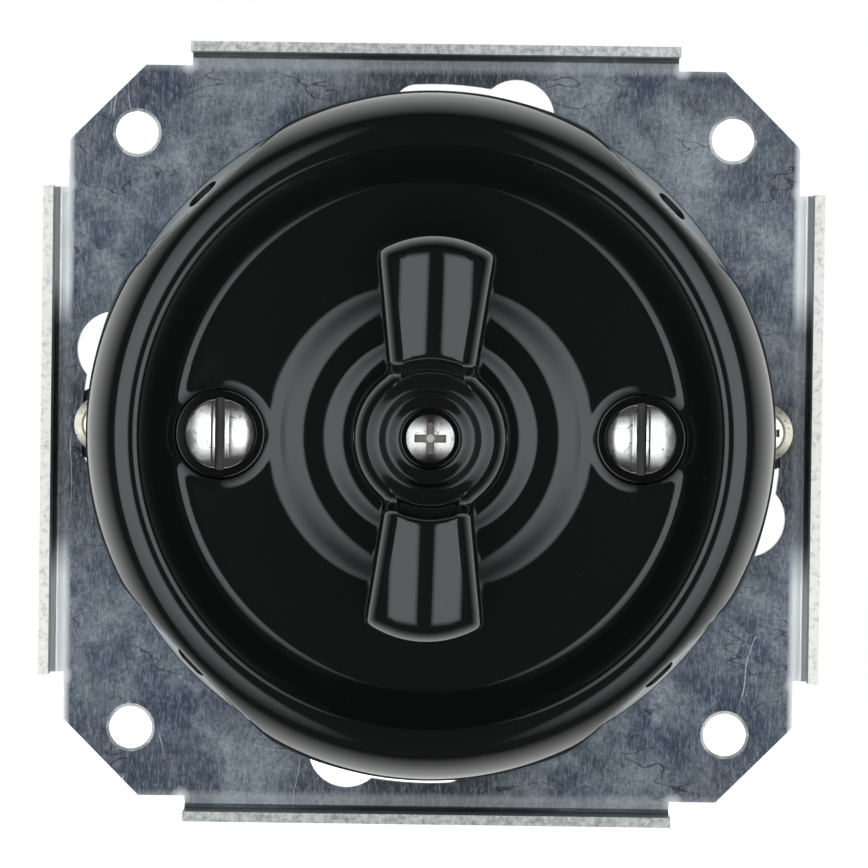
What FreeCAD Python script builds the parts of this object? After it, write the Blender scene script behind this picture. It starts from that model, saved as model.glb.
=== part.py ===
"""Flush-mounted porcelain rotary switch on a 71 mm sheet-steel mounting plate.

Every piece is drawn looking at the wall: x to the right, y up, z out of the wall,
with z = 0 on the back face of the plate. stand_up() then turns the piece so that
+Z is up and the knob points along -Y. All lengths are in millimetres.
"""
import FreeCAD, Part
import math
import os

V = FreeCAD.Vector
AXIS_X = V(1, 0, 0)
AXIS_Y = V(0, 1, 0)
AXIS_Z = V(0, 0, 1)
ORIGIN = V(0, 0, 0)

# Mounting plate
PLATE_SPAN = 71.0              # over the bent flanges
SHEET = 0.9                    # steel sheet
BEND_RADIUS = 0.55             # inside radius of the flange bends
FLANGE_LENGTH = 44.5
FLANGE_HEIGHT = 4.6            # from the wall to the cut edge
CORNER_CHAMFER = 7.3
EDGE_BEVEL = 0.55              # front edge of the sheet round the corners
RELIEF_RADIUS = 0.6            # notch at each end of a bend
CORNER_HOLE_PITCH = 54.6
CORNER_HOLE_RADIUS = 1.95
HOLE_BEVEL = 0.3
FIXING_CIRCLE_RADIUS = 30.0    # slots over a 60 mm wall box
KEYHOLE_ENTRY_RADIUS = 3.5
KEYHOLE_ENTRY_ANGLE = 75.7
SLOT_HALF_WIDTH = 2.1
SLOT_SWEEP = 17.6
WEB_OPENING_RADIUS = 15.0
COLLAR_WALL = 0.95             # drawn collar round each threaded hole
COLLAR_DEPTH = 1.6

# Four raised seats for the cover, drawn out of the plate
SEAT_ANGLE = 44.25             # middle of the first seat
SEAT_SWEEP = 44.0
SEAT_HEIGHT = 5.0              # wall to the top of a seat
SEAT_TOP_RADIUS = 29.6         # outer edge of the flat top
SEAT_TOP_WIDTH = 4.4
SEAT_OUTER_RUN = 1.75          # how far the outer wall slopes out
SEAT_INNER_RUN = 1.4           # how far the inner wall slopes in
WINDOW_WIDTH = 3.3
WINDOW_HEIGHT = 2.0

# Porcelain cover
COVER_RADIUS = 31.0
COVER_FLAT = 29.3              # centre to each flat above a seat
COVER_FOOT_ROUND = 0.6
ROLL_RADIUS = 4.9              # rounded outer edge
ROLL_HEIGHT = 4.4              # seat to the middle of the outer round
ROLL_TURN = 60.0               # how far the round turns, up to its crease
SHOULDER_RADIUS = 6.3          # flat round between the crease and the crest
SHOULDER_RUN = 1.7
BEAD_RADIUS = 3.5              # round on the inner side of the crest
BEAD_RUN = 0.9
SLOPE_RUN = 2.2                # steep slope down to the field
FOOT_RADIUS = 3.5              # hollow round at the foot of the slope
FOOT_RUN = 0.7
FIELD_RISE = 6.8               # seat to the flat field
STEP_1_OUT = 14.2
STEP_1_IN = 11.1
STEP_1_WALL = 0.15
STEP_1_DOME = 0.5              # rise of the flat dome inside the wall
STEP_2_OUT = 9.3
STEP_2_IN = 7.8
STEP_2_WALL = 0.15
STEP_2_DOME = 0.3
STEP_EDGE = 0.1                # broken edge on top of a wall
DOME_SHARE = 0.63              # part of a dome's rise in its outer half
COVER_WALL = 2.8
COVER_BORE_GAP = 0.3           # round the collar of the knob
CAVITY_RADIUS = 24.8

# Screws that hold the cover
SCREW_OFFSET = 18.85
COVER_SCREW_RADIUS = 1.5
COVER_SCREW_LENGTH = 14.8
COVER_HEAD_RADIUS = 3.25
COVER_HEAD_EDGE = 1.2
COVER_HEAD_DOME = 0.45
COVER_SLOT = 0.65
COVER_SLOT_DEPTH = 0.9
RECESS_RADIUS = 4.1
RECESS_DEPTH = 1.6
BOSS_RADIUS = 4.2
SCREW_GAP = 0.3                # screw in a plain hole
THREAD_GAP = 0.05              # screw in its thread

# Fixing screws kept in two of the slots
FIXING_SCREW_RADIUS = 1.6
FIXING_SCREW_LENGTH = 15.0
FIXING_FLANGE_RADIUS = 2.7
FIXING_FLANGE_THICKNESS = 0.8
FIXING_HEAD_RADIUS = 1.75
FIXING_HEAD_HEIGHT = 1.1
FIXING_SCREW_ANGLE = 1.0       # above the middle of the plate
FIXING_SLACK = 0.4             # the right one stands outwards in its slot
KEEPER_RADIUS = 3.6
KEEPER_THICKNESS = 0.8

# Knob
KNOB_BASE_GAP = 0.6            # over the cover
KNOB_HEIGHT = 9.8
WING_TIP = 18.0                # centre to the end of a wing
WING_SHOULDER = 16.4
WING_HALF_WIDTH = 5.35
WAIST = 5.2
WAIST_HALF_WIDTH = 4.0
WING_DRAFT = 0.45
WING_CROWN_RADIUS = 13.0
WING_EDGE_ROUND = 1.5
WING_CORNER_ROUND = 1.7
HUB_RADIUS = 7.0               # foot of the hub
HUB_DROP = 2.4                 # wing top down to the crest of the hub
HUB_EDGE_ROUND = 2.05
HUB_EDGE_TURN = 59.0           # how far the round turns, up to the crest
RING_RUN = 1.05                # crest inwards to the end of the first ring
RING_STEP_RUN = 0.6            # and from there down to the second ring
RING_STEP = 0.6
RING_FALL = 0.15               # each ring slopes inwards
COUNTERBORE_RADIUS = 2.7
COUNTERBORE_DEPTH = 1.9
KNOB_COLLAR_RADIUS = 3.8
KNOB_COLLAR_LENGTH = 2.4
KNOB_FLOOR = 1.8               # under the head of the knob screw

# Screw of the knob
KNOB_SCREW_RADIUS = 1.3
KNOB_SCREW_LENGTH = 7.0
KNOB_HEAD_RADIUS = 2.12
KNOB_HEAD_EDGE = 1.05
KNOB_HEAD_DOME = 0.3
CROSS_WIDTH = 0.7
CROSS_LENGTH = 2.8
CROSS_DEPTH = 0.8

# Spindle and what turns with it
SPINDLE_RADIUS = 3.0
SQUARE_SIDE = 4.2
SQUARE_GAP = 0.05
SHOULDER_GAP = 1.2             # collar of the knob down to the round part
TAIL_RADIUS = 1.6
TAIL_LENGTH = 3.0
RUNNING_GAP = 0.05
CLIP_THICKNESS = 0.6
CLIP_RADIUS = 4.6
GROOVE_RADIUS = 2.4
CLIP_OPENING = 70.0
WASHER_RADIUS = 5.6
WASHER_THICKNESS = 0.6
CAM_FLAT = 5.0                 # centre to a flat
CAM_CORNER_RADIUS = 6.3
CAM_THICKNESS = 3.2
CAM_SLEEVE_RADIUS = 4.2
CAM_SLEEVE_LENGTH = 4.0
BRIDGE_THICKNESS = 0.6
BRIDGE_REACH = 11.4
BRIDGE_WIDTH = 5.0
CARRIER_RADIUS = 9.0
CARRIER_THICKNESS = 3.6
CARRIER_HUB_RADIUS = 5.0
CARRIER_HUB_GAP = 0.1

# Bearing strap
STRAP_LENGTH = 44.0
STRAP_WIDTH = 12.0
STRAP_THICKNESS = 1.2
BUSH_WALL = 1.75
BUSH_LENGTH = 4.1
BASE_SCREW_RADIUS = 1.5
BASE_SCREW_LENGTH = 11.0
BASE_HEAD_RADIUS = 2.7
BASE_HEAD_HEIGHT = 1.6

# Base behind the plate
BASE_RADIUS = 25.0
BASE_DEPTH = 21.0
BASE_EDGE = 1.0
CHAMBER_RADIUS = 14.2
CHAMBER_DEPTH = 13.5
SPRING_THICKNESS = 0.4
SPRING_WIDTH = 2.6
SPRING_HALF_LENGTH = 14.0
SPRING_SEAT_GAP = 0.1
SPRING_CAM_GAP = 0.05

# Terminals
TERMINAL_ANGLE = 45.0
TERMINAL_INNER = 16.3
TERMINAL_LENGTH = 6.0
TERMINAL_WIDTH = 8.0
TERMINAL_HEIGHT = 11.0
TERMINAL_FRONT = 5.0           # wall to the front face of a terminal, behind the wall
POCKET_GAP = 0.2
WIRE_RADIUS = 1.6
WIRE_RISE = 2.1                # inner face of the terminal to the wire bore
WIRE_DEPTH = 8.3
CLAMP_RADIUS = 1.5
CLAMP_DEPTH = 4.2              # front face of the terminal to the clamping screw
CLAMP_STAND_OFF = 1.0
CLAMP_HEAD_RADIUS = 2.3
CLAMP_HEAD_HEIGHT = 1.4
CLAMP_SLOT = 0.7
CONTACT_WIDTH = 4.0
CONTACT_THICKNESS = 0.4
CONTACT_TIP = 8.2
CONTACT_POINT = 9.6
CONTACT_KNEE = 13.4
CONTACT_GAP = 0.1              # over the turning bridge
RIVET_RADIUS = 1.0
RIVET_HEAD_RADIUS = 1.7
RIVET_HEAD_HEIGHT = 0.6
RIVET_LENGTH = 2.0
RIVET_INSET = 4.3

QUARTERS = [0, 90, 180, 270]

# Radii that follow
BODY_HALF = PLATE_SPAN / 2 - SHEET - BEND_RADIUS
SEAT_FOOT_RADIUS = SEAT_TOP_RADIUS + SEAT_OUTER_RUN
SEAT_INNER_RADIUS = SEAT_TOP_RADIUS - SEAT_TOP_WIDTH
ROLL_CENTRE = COVER_RADIUS - ROLL_RADIUS
CREASE_RADIUS = ROLL_CENTRE + ROLL_RADIUS * math.cos(math.radians(ROLL_TURN))
CREST_RADIUS = CREASE_RADIUS - SHOULDER_RUN
SLOPE_TOP = CREST_RADIUS - BEAD_RUN
SLOPE_FOOT = SLOPE_TOP - SLOPE_RUN
FIELD_RADIUS = SLOPE_FOOT - FOOT_RUN

HUB_NECK = HUB_RADIUS - WING_DRAFT
HUB_CREST = HUB_NECK - HUB_EDGE_ROUND * (1 - math.cos(math.radians(HUB_EDGE_TURN)))
RING_1_IN = HUB_CREST - RING_RUN
RING_2_OUT = RING_1_IN - RING_STEP_RUN

# Heights that follow, measured out of the wall
FIELD_Z = SEAT_HEIGHT + FIELD_RISE
STEP_1_Z = FIELD_Z + STEP_1_WALL + STEP_1_DOME
COVER_TOP_Z = STEP_1_Z + STEP_2_WALL + STEP_2_DOME
CEILING_Z = FIELD_Z - COVER_WALL
RECESS_Z = FIELD_Z - RECESS_DEPTH
KNOB_Z = COVER_TOP_Z + KNOB_BASE_GAP
KNOB_TOP_Z = KNOB_Z + KNOB_HEIGHT
HUB_TOP_Z = KNOB_TOP_Z - HUB_DROP
DISH_Z = HUB_TOP_Z - 2 * RING_FALL - RING_STEP
COUNTERBORE_Z = DISH_Z - COUNTERBORE_DEPTH
SOCKET_TOP_Z = COUNTERBORE_Z - KNOB_FLOOR
SHOULDER_Z = KNOB_Z - KNOB_COLLAR_LENGTH - SHOULDER_GAP
COVER_BORE_RADIUS = KNOB_COLLAR_RADIUS + COVER_BORE_GAP
STRAP_TOP_Z = SHEET + STRAP_THICKNESS
BUSH_TOP_Z = SHEET + BUSH_LENGTH
WASHER_BOTTOM_Z = SHEET - RUNNING_GAP - WASHER_THICKNESS
CAM_TOP_Z = WASHER_BOTTOM_Z
CAM_BOTTOM_Z = CAM_TOP_Z - CAM_THICKNESS
BRIDGE_TOP_Z = CAM_BOTTOM_Z - CAM_SLEEVE_LENGTH
CARRIER_TOP_Z = BRIDGE_TOP_Z - BRIDGE_THICKNESS
CARRIER_BOTTOM_Z = -CHAMBER_DEPTH + CARRIER_HUB_GAP
SPRING_TOP_Z = CAM_TOP_Z - (CAM_THICKNESS - SPRING_WIDTH) / 2


def cylinder(radius, z_low, z_high, x=0.0, y=0.0):
    """Round bar or hole along z."""
    return Part.makeCylinder(radius, z_high - z_low, V(x, y, z_low), AXIS_Z)


def block(x_low, x_high, y_low, y_high, z_low, z_high):
    """Box between six faces."""
    return Part.makeBox(x_high - x_low, y_high - y_low, z_high - z_low, V(x_low, y_low, z_low))


def turned(shape, angle):
    """Copy of a shape turned about the z axis, in degrees."""
    copy = shape.copy()
    copy.rotate(ORIGIN, AXIS_Z, angle)
    return copy


def round_the_clock(shape, angles=QUARTERS):
    """One copy of a shape at each angle about the z axis."""
    return [turned(shape, angle) for angle in angles]


def polar(radius, angle, z=0.0):
    """Point at a radius and an angle in degrees."""
    turn = math.radians(angle)
    return V(radius * math.cos(turn), radius * math.sin(turn), z)


def arc(start, middle, end):
    """Edge through three points."""
    return Part.Arc(start, middle, end).toShape()


def line(start, end):
    """Straight edge."""
    return Part.makeLine(start, end)


def face_of(edges):
    """Flat face inside a closed loop of edges."""
    return Part.Face(Part.Wire(edges))


def polygon_face(points):
    """Flat face inside a polygon."""
    return Part.Face(Part.makePolygon(points + [points[0]]))


def revolved(face, angle=360.0):
    """Solid made by turning a face in the xz plane about the z axis."""
    return face.revolve(ORIGIN, AXIS_Z, angle)


def rim_point(centre_x, centre_z, radius, angle):
    """Point on a circle in the xz plane, at an angle in degrees from +x."""
    turn = math.radians(angle)
    return V(centre_x + radius * math.cos(turn), 0, centre_z + radius * math.sin(turn))


def stand_up(shape):
    """Turn a piece from the drawing frame to the row frame."""
    copy = shape.copy()
    copy.rotate(ORIGIN, AXIS_X, 90)
    return copy


def plate_blank():
    """Flat square of sheet with four chamfered corners and a bevelled front edge."""
    half = BODY_HALF
    cut = half - CORNER_CHAMFER
    points = [V(half, -cut, 0), V(half, cut, 0), V(cut, half, 0), V(-cut, half, 0)]
    points += [V(-half, cut, 0), V(-half, -cut, 0), V(-cut, -half, 0), V(cut, -half, 0)]
    blank = polygon_face(points).extrude(V(0, 0, SHEET))
    front = [edge for edge in blank.Edges if edge.BoundBox.ZMin > SHEET / 2]
    return blank.makeChamfer(EDGE_BEVEL, front)


def flange():
    """Right-hand flange: sheet bent out of the wall through a quarter turn."""
    outer = BEND_RADIUS + SHEET
    middle = BODY_HALF
    overlap = middle - SHEET
    edge = middle + outer
    inner_edge = middle + BEND_RADIUS
    outer_mid = rim_point(middle, outer, outer, -45)
    inner_mid = rim_point(middle, outer, BEND_RADIUS, -45)
    edges = [
        line(V(overlap, 0, 0), V(middle, 0, 0)),
        arc(V(middle, 0, 0), outer_mid, V(edge, 0, outer)),
        line(V(edge, 0, outer), V(edge, 0, FLANGE_HEIGHT)),
        line(V(edge, 0, FLANGE_HEIGHT), V(inner_edge, 0, FLANGE_HEIGHT)),
        line(V(inner_edge, 0, FLANGE_HEIGHT), V(inner_edge, 0, outer)),
        arc(V(inner_edge, 0, outer), inner_mid, V(middle, 0, SHEET)),
        line(V(middle, 0, SHEET), V(overlap, 0, SHEET)),
        line(V(overlap, 0, SHEET), V(overlap, 0, 0)),
    ]
    strip = face_of(edges).extrude(V(0, FLANGE_LENGTH, 0))
    strip.translate(V(0, -FLANGE_LENGTH / 2, 0))
    return strip


def keyhole():
    """Round entry and the arc slot that runs from it, as a cutting tool."""
    low = -SHEET
    high = 2 * SHEET
    start = polar(FIXING_CIRCLE_RADIUS, KEYHOLE_ENTRY_ANGLE)
    end = polar(FIXING_CIRCLE_RADIUS, KEYHOLE_ENTRY_ANGLE + SLOT_SWEEP)
    entry = cylinder(KEYHOLE_ENTRY_RADIUS, low, high, start.x, start.y)
    tip = cylinder(SLOT_HALF_WIDTH, low, high, end.x, end.y)
    inner = FIXING_CIRCLE_RADIUS - SLOT_HALF_WIDTH
    outer = FIXING_CIRCLE_RADIUS + SLOT_HALF_WIDTH
    section = polygon_face([V(inner, 0, low), V(outer, 0, low), V(outer, 0, high), V(inner, 0, high)])
    slot = turned(revolved(section, SLOT_SWEEP), KEYHOLE_ENTRY_ANGLE)
    return entry.fuse([tip, slot])


def corner_hole():
    """Round hole in a corner with a bevelled front edge, as a cutting tool."""
    middle = CORNER_HOLE_PITCH / 2
    hole = cylinder(CORNER_HOLE_RADIUS, -SHEET, 2 * SHEET, middle, middle)
    bevel = Part.makeCone(CORNER_HOLE_RADIUS, CORNER_HOLE_RADIUS + 2 * HOLE_BEVEL, 2 * HOLE_BEVEL,
                          V(middle, middle, SHEET - HOLE_BEVEL), AXIS_Z)
    return hole.fuse(bevel)


def seat_section(inset, foot, top):
    """Section of a raised seat, moved in by an inset, between two heights."""
    return polygon_face([
        V(SEAT_FOOT_RADIUS - inset, 0, foot),
        V(SEAT_TOP_RADIUS - inset, 0, top),
        V(SEAT_INNER_RADIUS + inset, 0, top),
        V(SEAT_INNER_RADIUS - SEAT_INNER_RUN + inset, 0, foot),
    ])


def seat_shell():
    """Drawn seat centred on the x axis, hollow towards the wall, with its oval window."""
    outside = turned(revolved(seat_section(0, 0, SEAT_HEIGHT), SEAT_SWEEP), -SEAT_SWEEP / 2)
    window_z = (SEAT_HEIGHT + SHEET) / 2
    half = (WINDOW_WIDTH - WINDOW_HEIGHT) / 2
    reach = SEAT_FOOT_RADIUS - SEAT_INNER_RADIUS
    start = V(SEAT_FOOT_RADIUS - reach / 2, 0, window_z)
    window = Part.makeBox(reach, 2 * half, WINDOW_HEIGHT, start - V(0, half, WINDOW_HEIGHT / 2))
    for side in [-1, 1]:
        end = Part.makeCylinder(WINDOW_HEIGHT / 2, reach, start + V(0, side * half, 0), AXIS_X)
        window = window.fuse(end)
    return outside.cut(window)


def seat_hollow():
    """Space behind a raised seat, as a cutting tool."""
    wall_turn = math.degrees(SHEET / SEAT_INNER_RADIUS)
    sweep = SEAT_SWEEP - 2 * wall_turn
    section = seat_section(SHEET, -SHEET, SEAT_HEIGHT - SHEET)
    return turned(revolved(section, sweep), -sweep / 2)


def mounting_plate():
    """Punched, drawn and bent steel plate that the whole switch hangs on."""
    plate = plate_blank()
    plate = plate.fuse(round_the_clock(flange()))
    notch_x = BODY_HALF + RELIEF_RADIUS / 2
    notches = []
    for side in [-1, 1]:
        notch_y = side * (FLANGE_LENGTH / 2 + RELIEF_RADIUS)
        notches += round_the_clock(cylinder(RELIEF_RADIUS, -SHEET, 2 * SHEET, notch_x, notch_y))
    collars = []
    for side in [-1, 1]:
        x = side * SCREW_OFFSET
        outer = COVER_SCREW_RADIUS + THREAD_GAP + COLLAR_WALL
        collars.append(cylinder(outer, -COLLAR_DEPTH, SHEET / 2, x))
    seats = round_the_clock(seat_shell(), [SEAT_ANGLE + quarter for quarter in QUARTERS])
    hollows = round_the_clock(seat_hollow(), [SEAT_ANGLE + quarter for quarter in QUARTERS])
    plate = plate.cut(round_the_clock(seat_floor_tool(), [SEAT_ANGLE + q for q in QUARTERS]))
    plate = plate.fuse(seats + collars)
    tools = hollows + notches + round_the_clock(keyhole()) + round_the_clock(corner_hole())
    tools.append(cylinder(WEB_OPENING_RADIUS, -SHEET, 2 * SHEET))
    for side in [-1, 1]:
        x = side * SCREW_OFFSET
        tools.append(cylinder(COVER_SCREW_RADIUS + THREAD_GAP, -2 * COLLAR_DEPTH, 2 * SHEET, x))
        tools.append(cylinder(BASE_SCREW_RADIUS + SCREW_GAP, -SHEET, 2 * SHEET, 0, x))
    return plate.cut(tools).removeSplitter()


def seat_floor_tool():
    """The sheet under a seat, taken out before the seat is set in its place."""
    section = seat_section(SHEET / 2, -SHEET, 2 * SHEET)
    sweep = SEAT_SWEEP - math.degrees(SHEET / SEAT_INNER_RADIUS)
    return turned(revolved(section, sweep), -sweep / 2)


def fall(radius, run):
    """How far a round drops over a run from its highest point."""
    return radius - math.sqrt(radius ** 2 - run ** 2)


def dome_middle(inner, outer, low, high):
    """Middle point of a step's dome, which is steepest at its outer edge."""
    return V((inner + outer) / 2, 0, low + DOME_SHARE * (high - low))


def step_edges(outer, inner, foot, wall, dome):
    """Dome, broken edge and wall of one step, from its inside out, ending at its foot."""
    top = foot + wall + dome
    rim = outer - STEP_EDGE
    rim_z = foot + wall
    return [
        arc(V(inner, 0, top), dome_middle(inner, rim, rim_z, top), V(rim, 0, rim_z)),
        line(V(rim, 0, rim_z), V(outer, 0, rim_z - STEP_EDGE)),
        line(V(outer, 0, rim_z - STEP_EDGE), V(outer, 0, foot)),
    ]


def rim_edges():
    """Edges of the bead and the rolled rim, from the field out to the widest point."""
    roll_z = SEAT_HEIGHT + ROLL_HEIGHT
    crease = rim_point(ROLL_CENTRE, roll_z, ROLL_RADIUS, ROLL_TURN)
    crest_z = crease.z + fall(SHOULDER_RADIUS, SHOULDER_RUN)
    foot = V(SLOPE_FOOT, 0, FIELD_Z + fall(FOOT_RADIUS, FOOT_RUN))
    foot_mid = V(SLOPE_FOOT - FOOT_RUN / 2, 0, FIELD_Z + fall(FOOT_RADIUS, FOOT_RUN / 2))
    top = V(SLOPE_TOP, 0, crest_z - fall(BEAD_RADIUS, BEAD_RUN))
    top_mid = V(SLOPE_TOP + BEAD_RUN / 2, 0, crest_z - fall(BEAD_RADIUS, BEAD_RUN / 2))
    crest = V(CREST_RADIUS, 0, crest_z)
    shoulder_mid = V(CREST_RADIUS + SHOULDER_RUN / 2, 0, crest_z - fall(SHOULDER_RADIUS, SHOULDER_RUN / 2))
    roll_mid = rim_point(ROLL_CENTRE, roll_z, ROLL_RADIUS, ROLL_TURN / 2)
    return [
        arc(V(FIELD_RADIUS, 0, FIELD_Z), foot_mid, foot),
        line(foot, top),
        arc(top, top_mid, crest),
        arc(crest, shoulder_mid, crease),
        arc(crease, roll_mid, V(COVER_RADIUS, 0, roll_z)),
    ]


def cover_section():
    """Half section of the porcelain cover, from the bore out to the foot and back."""
    foot_x = COVER_RADIUS - COVER_FOOT_ROUND
    foot_z = SEAT_HEIGHT + COVER_FOOT_ROUND
    outer_foot = V(COVER_RADIUS, 0, foot_z)
    under_z = STEP_1_Z - COVER_WALL / 2
    edges = [line(V(COVER_BORE_RADIUS, 0, COVER_TOP_Z), V(STEP_2_IN, 0, COVER_TOP_Z))]
    edges += step_edges(STEP_2_OUT, STEP_2_IN, STEP_1_Z, STEP_2_WALL, STEP_2_DOME)
    edges.append(line(V(STEP_2_OUT, 0, STEP_1_Z), V(STEP_1_IN, 0, STEP_1_Z)))
    edges += step_edges(STEP_1_OUT, STEP_1_IN, FIELD_Z, STEP_1_WALL, STEP_1_DOME)
    edges.append(line(V(STEP_1_OUT, 0, FIELD_Z), V(FIELD_RADIUS, 0, FIELD_Z)))
    edges += rim_edges()
    edges += [
        line(V(COVER_RADIUS, 0, SEAT_HEIGHT + ROLL_HEIGHT), outer_foot),
        arc(outer_foot, rim_point(foot_x, foot_z, COVER_FOOT_ROUND, -45), V(foot_x, 0, SEAT_HEIGHT)),
        line(V(foot_x, 0, SEAT_HEIGHT), V(CAVITY_RADIUS, 0, SEAT_HEIGHT)),
        line(V(CAVITY_RADIUS, 0, SEAT_HEIGHT), V(CAVITY_RADIUS, 0, CEILING_Z)),
        line(V(CAVITY_RADIUS, 0, CEILING_Z), V(STEP_1_IN, 0, CEILING_Z)),
        line(V(STEP_1_IN, 0, CEILING_Z), V(STEP_2_IN, 0, under_z)),
        line(V(STEP_2_IN, 0, under_z), V(COVER_BORE_RADIUS, 0, under_z)),
        line(V(COVER_BORE_RADIUS, 0, under_z), V(COVER_BORE_RADIUS, 0, COVER_TOP_Z)),
    ]
    return face_of(edges)


def cover_disc():
    """Glazed porcelain cover with a rolled rim, a sunk field and two raised steps."""
    disc = revolved(cover_section())
    reach = 2 * COVER_RADIUS
    flat = block(COVER_FLAT, reach, -reach, reach, 0, KNOB_Z)
    tools = round_the_clock(flat, [SEAT_ANGLE + quarter for quarter in QUARTERS])
    bosses = []
    for side in [-1, 1]:
        x = side * SCREW_OFFSET
        bosses.append(cylinder(BOSS_RADIUS, SHEET, CEILING_Z + COVER_WALL / 2, x))
        tools.append(cylinder(RECESS_RADIUS, RECESS_Z, KNOB_Z, x))
        tools.append(cylinder(COVER_SCREW_RADIUS + SCREW_GAP, 0, KNOB_Z, x))
    return disc.fuse(bosses).cut(tools)


def domed_head(radius, edge, dome, z):
    """Round screw head: a short straight edge under a spherical cap."""
    sphere = (radius ** 2 + dome ** 2) / (2 * dome)
    shoulder = V(radius / 2, 0, z + edge + dome - fall(sphere, radius / 2))
    face = face_of([
        line(V(0, 0, z), V(radius, 0, z)),
        line(V(radius, 0, z), V(radius, 0, z + edge)),
        arc(V(radius, 0, z + edge), shoulder, V(0, 0, z + edge + dome)),
        line(V(0, 0, z + edge + dome), V(0, 0, z)),
    ])
    return revolved(face)


def cover_screw(side):
    """Slotted raised-head screw that holds the cover to the plate."""
    head = domed_head(COVER_HEAD_RADIUS, COVER_HEAD_EDGE, COVER_HEAD_DOME, RECESS_Z)
    shank = cylinder(COVER_SCREW_RADIUS, RECESS_Z - COVER_SCREW_LENGTH, RECESS_Z + COVER_HEAD_EDGE / 2)
    top = RECESS_Z + COVER_HEAD_EDGE + COVER_HEAD_DOME
    reach = 2 * COVER_HEAD_RADIUS
    half = COVER_SLOT / 2
    slot = block(-half, half, -reach, reach, top - COVER_SLOT_DEPTH, top + COVER_SLOT_DEPTH)
    screw = head.fuse(shank).cut(slot)
    screw.translate(V(side * SCREW_OFFSET, 0, 0))
    return screw


def cross_recess(length, width, depth, z):
    """Crossed slots in a screw head, as a cutting tool."""
    one = block(-length / 2, length / 2, -width / 2, width / 2, z - depth, z + depth)
    return one.fuse(turned(one, 90))


def fixing_screw_place(side):
    """Centre of a fixing screw on the fixing circle."""
    if side > 0:
        return polar(FIXING_CIRCLE_RADIUS + FIXING_SLACK, FIXING_SCREW_ANGLE)
    return polar(FIXING_CIRCLE_RADIUS, 180 - FIXING_SCREW_ANGLE)


def fixing_screw(side):
    """Wall-box screw with a flanged cross-slot head, kept in a slot of the plate."""
    flange_top = SHEET + FIXING_FLANGE_THICKNESS
    top = flange_top + FIXING_HEAD_HEIGHT
    screw = cylinder(FIXING_SCREW_RADIUS, SHEET - FIXING_SCREW_LENGTH, flange_top)
    collar = cylinder(FIXING_FLANGE_RADIUS, SHEET, flange_top)
    head = cylinder(FIXING_HEAD_RADIUS, flange_top - FIXING_FLANGE_THICKNESS / 2, top)
    screw = screw.fuse([collar, head]).removeSplitter()
    screw = screw.cut(cross_recess(CROSS_LENGTH, CROSS_WIDTH, CROSS_DEPTH, top))
    screw.translate(fixing_screw_place(side))
    return screw


def screw_keeper(side):
    """Fibre washer behind the plate that keeps a fixing screw in its slot."""
    ring = cylinder(KEEPER_RADIUS, -KEEPER_THICKNESS, 0)
    ring = ring.cut(cylinder(FIXING_SCREW_RADIUS + THREAD_GAP, -2 * KEEPER_THICKNESS, SHEET))
    ring.translate(fixing_screw_place(side))
    return ring


def wing_corners(grow, z):
    """Straight-sided outline of one upright wing at a height, past its tip."""
    waist = WAIST_HALF_WIDTH + grow
    flare = (WING_HALF_WIDTH - WAIST_HALF_WIDTH) / (WING_SHOULDER - WAIST)
    far = WING_TIP + 1
    wide = waist + flare * (far - WAIST)
    right = [V(waist, 0, z), V(waist, WAIST, z), V(wide, far, z)]
    left = [V(-wide, far, z), V(-waist, WAIST, z), V(-waist, 0, z)]
    return right + left


def drafted_bar(low, high):
    """Solid between two outlines with parallel sides."""
    faces = [polygon_face(low), polygon_face(high)]
    count = len(low)
    for number in range(count):
        after = (number + 1) % count
        faces.append(polygon_face([low[number], low[after], high[after], high[number]]))
    return Part.Solid(Part.Shell(faces))


def tip_tool():
    """What lies outside the rounded tip of a wing, as a cutting tool."""
    rise = WING_TIP - WING_SHOULDER
    radius = (WING_HALF_WIDTH ** 2 + rise ** 2) / (2 * rise)
    centre_y = WING_TIP - radius
    cone = Part.makeCone(radius, radius - WING_DRAFT, KNOB_HEIGHT, V(0, centre_y, KNOB_Z))
    reach = 2 * WING_TIP
    return block(-reach, reach, centre_y, reach, KNOB_Z, KNOB_TOP_Z).cut(cone)


def crown_bar():
    """Long round bar whose top line is the crest of the wings, with its seam below."""
    axis_z = KNOB_TOP_Z - WING_CROWN_RADIUS
    bar = Part.makeCylinder(WING_CROWN_RADIUS, WAIST + 2 * WING_TIP, V(0, -WAIST, axis_z), AXIS_Y)
    bar.rotate(V(0, 0, axis_z), AXIS_Y, 180)
    return bar


def wing():
    """One drafted wing with a crowned top and rounded upper edges."""
    body = drafted_bar(wing_corners(0, KNOB_Z), wing_corners(-WING_DRAFT, KNOB_TOP_Z)).cut(tip_tool())
    corners = [edge for edge in body.Edges if upright(edge) and edge.CenterOfMass.y > WAIST * 2]
    body = body.makeFillet(WING_CORNER_ROUND, corners)
    shaped = body.common(crown_bar())
    top_edges = [edge for edge in shaped.Edges if on_the_rim(edge)]
    return shaped.makeFillet(WING_EDGE_ROUND, top_edges)


def upright(edge):
    """Whether an edge runs from the foot to the top of the knob."""
    return edge.BoundBox.ZLength > KNOB_HEIGHT / 2


def on_the_rim(edge):
    """Whether an edge of a wing lies along its top, apart from the end inside the hub."""
    middle = edge.valueAt((edge.FirstParameter + edge.LastParameter) / 2)
    return middle.z > KNOB_TOP_Z - KNOB_HEIGHT / 4 and middle.y > WAIST / 4


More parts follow.
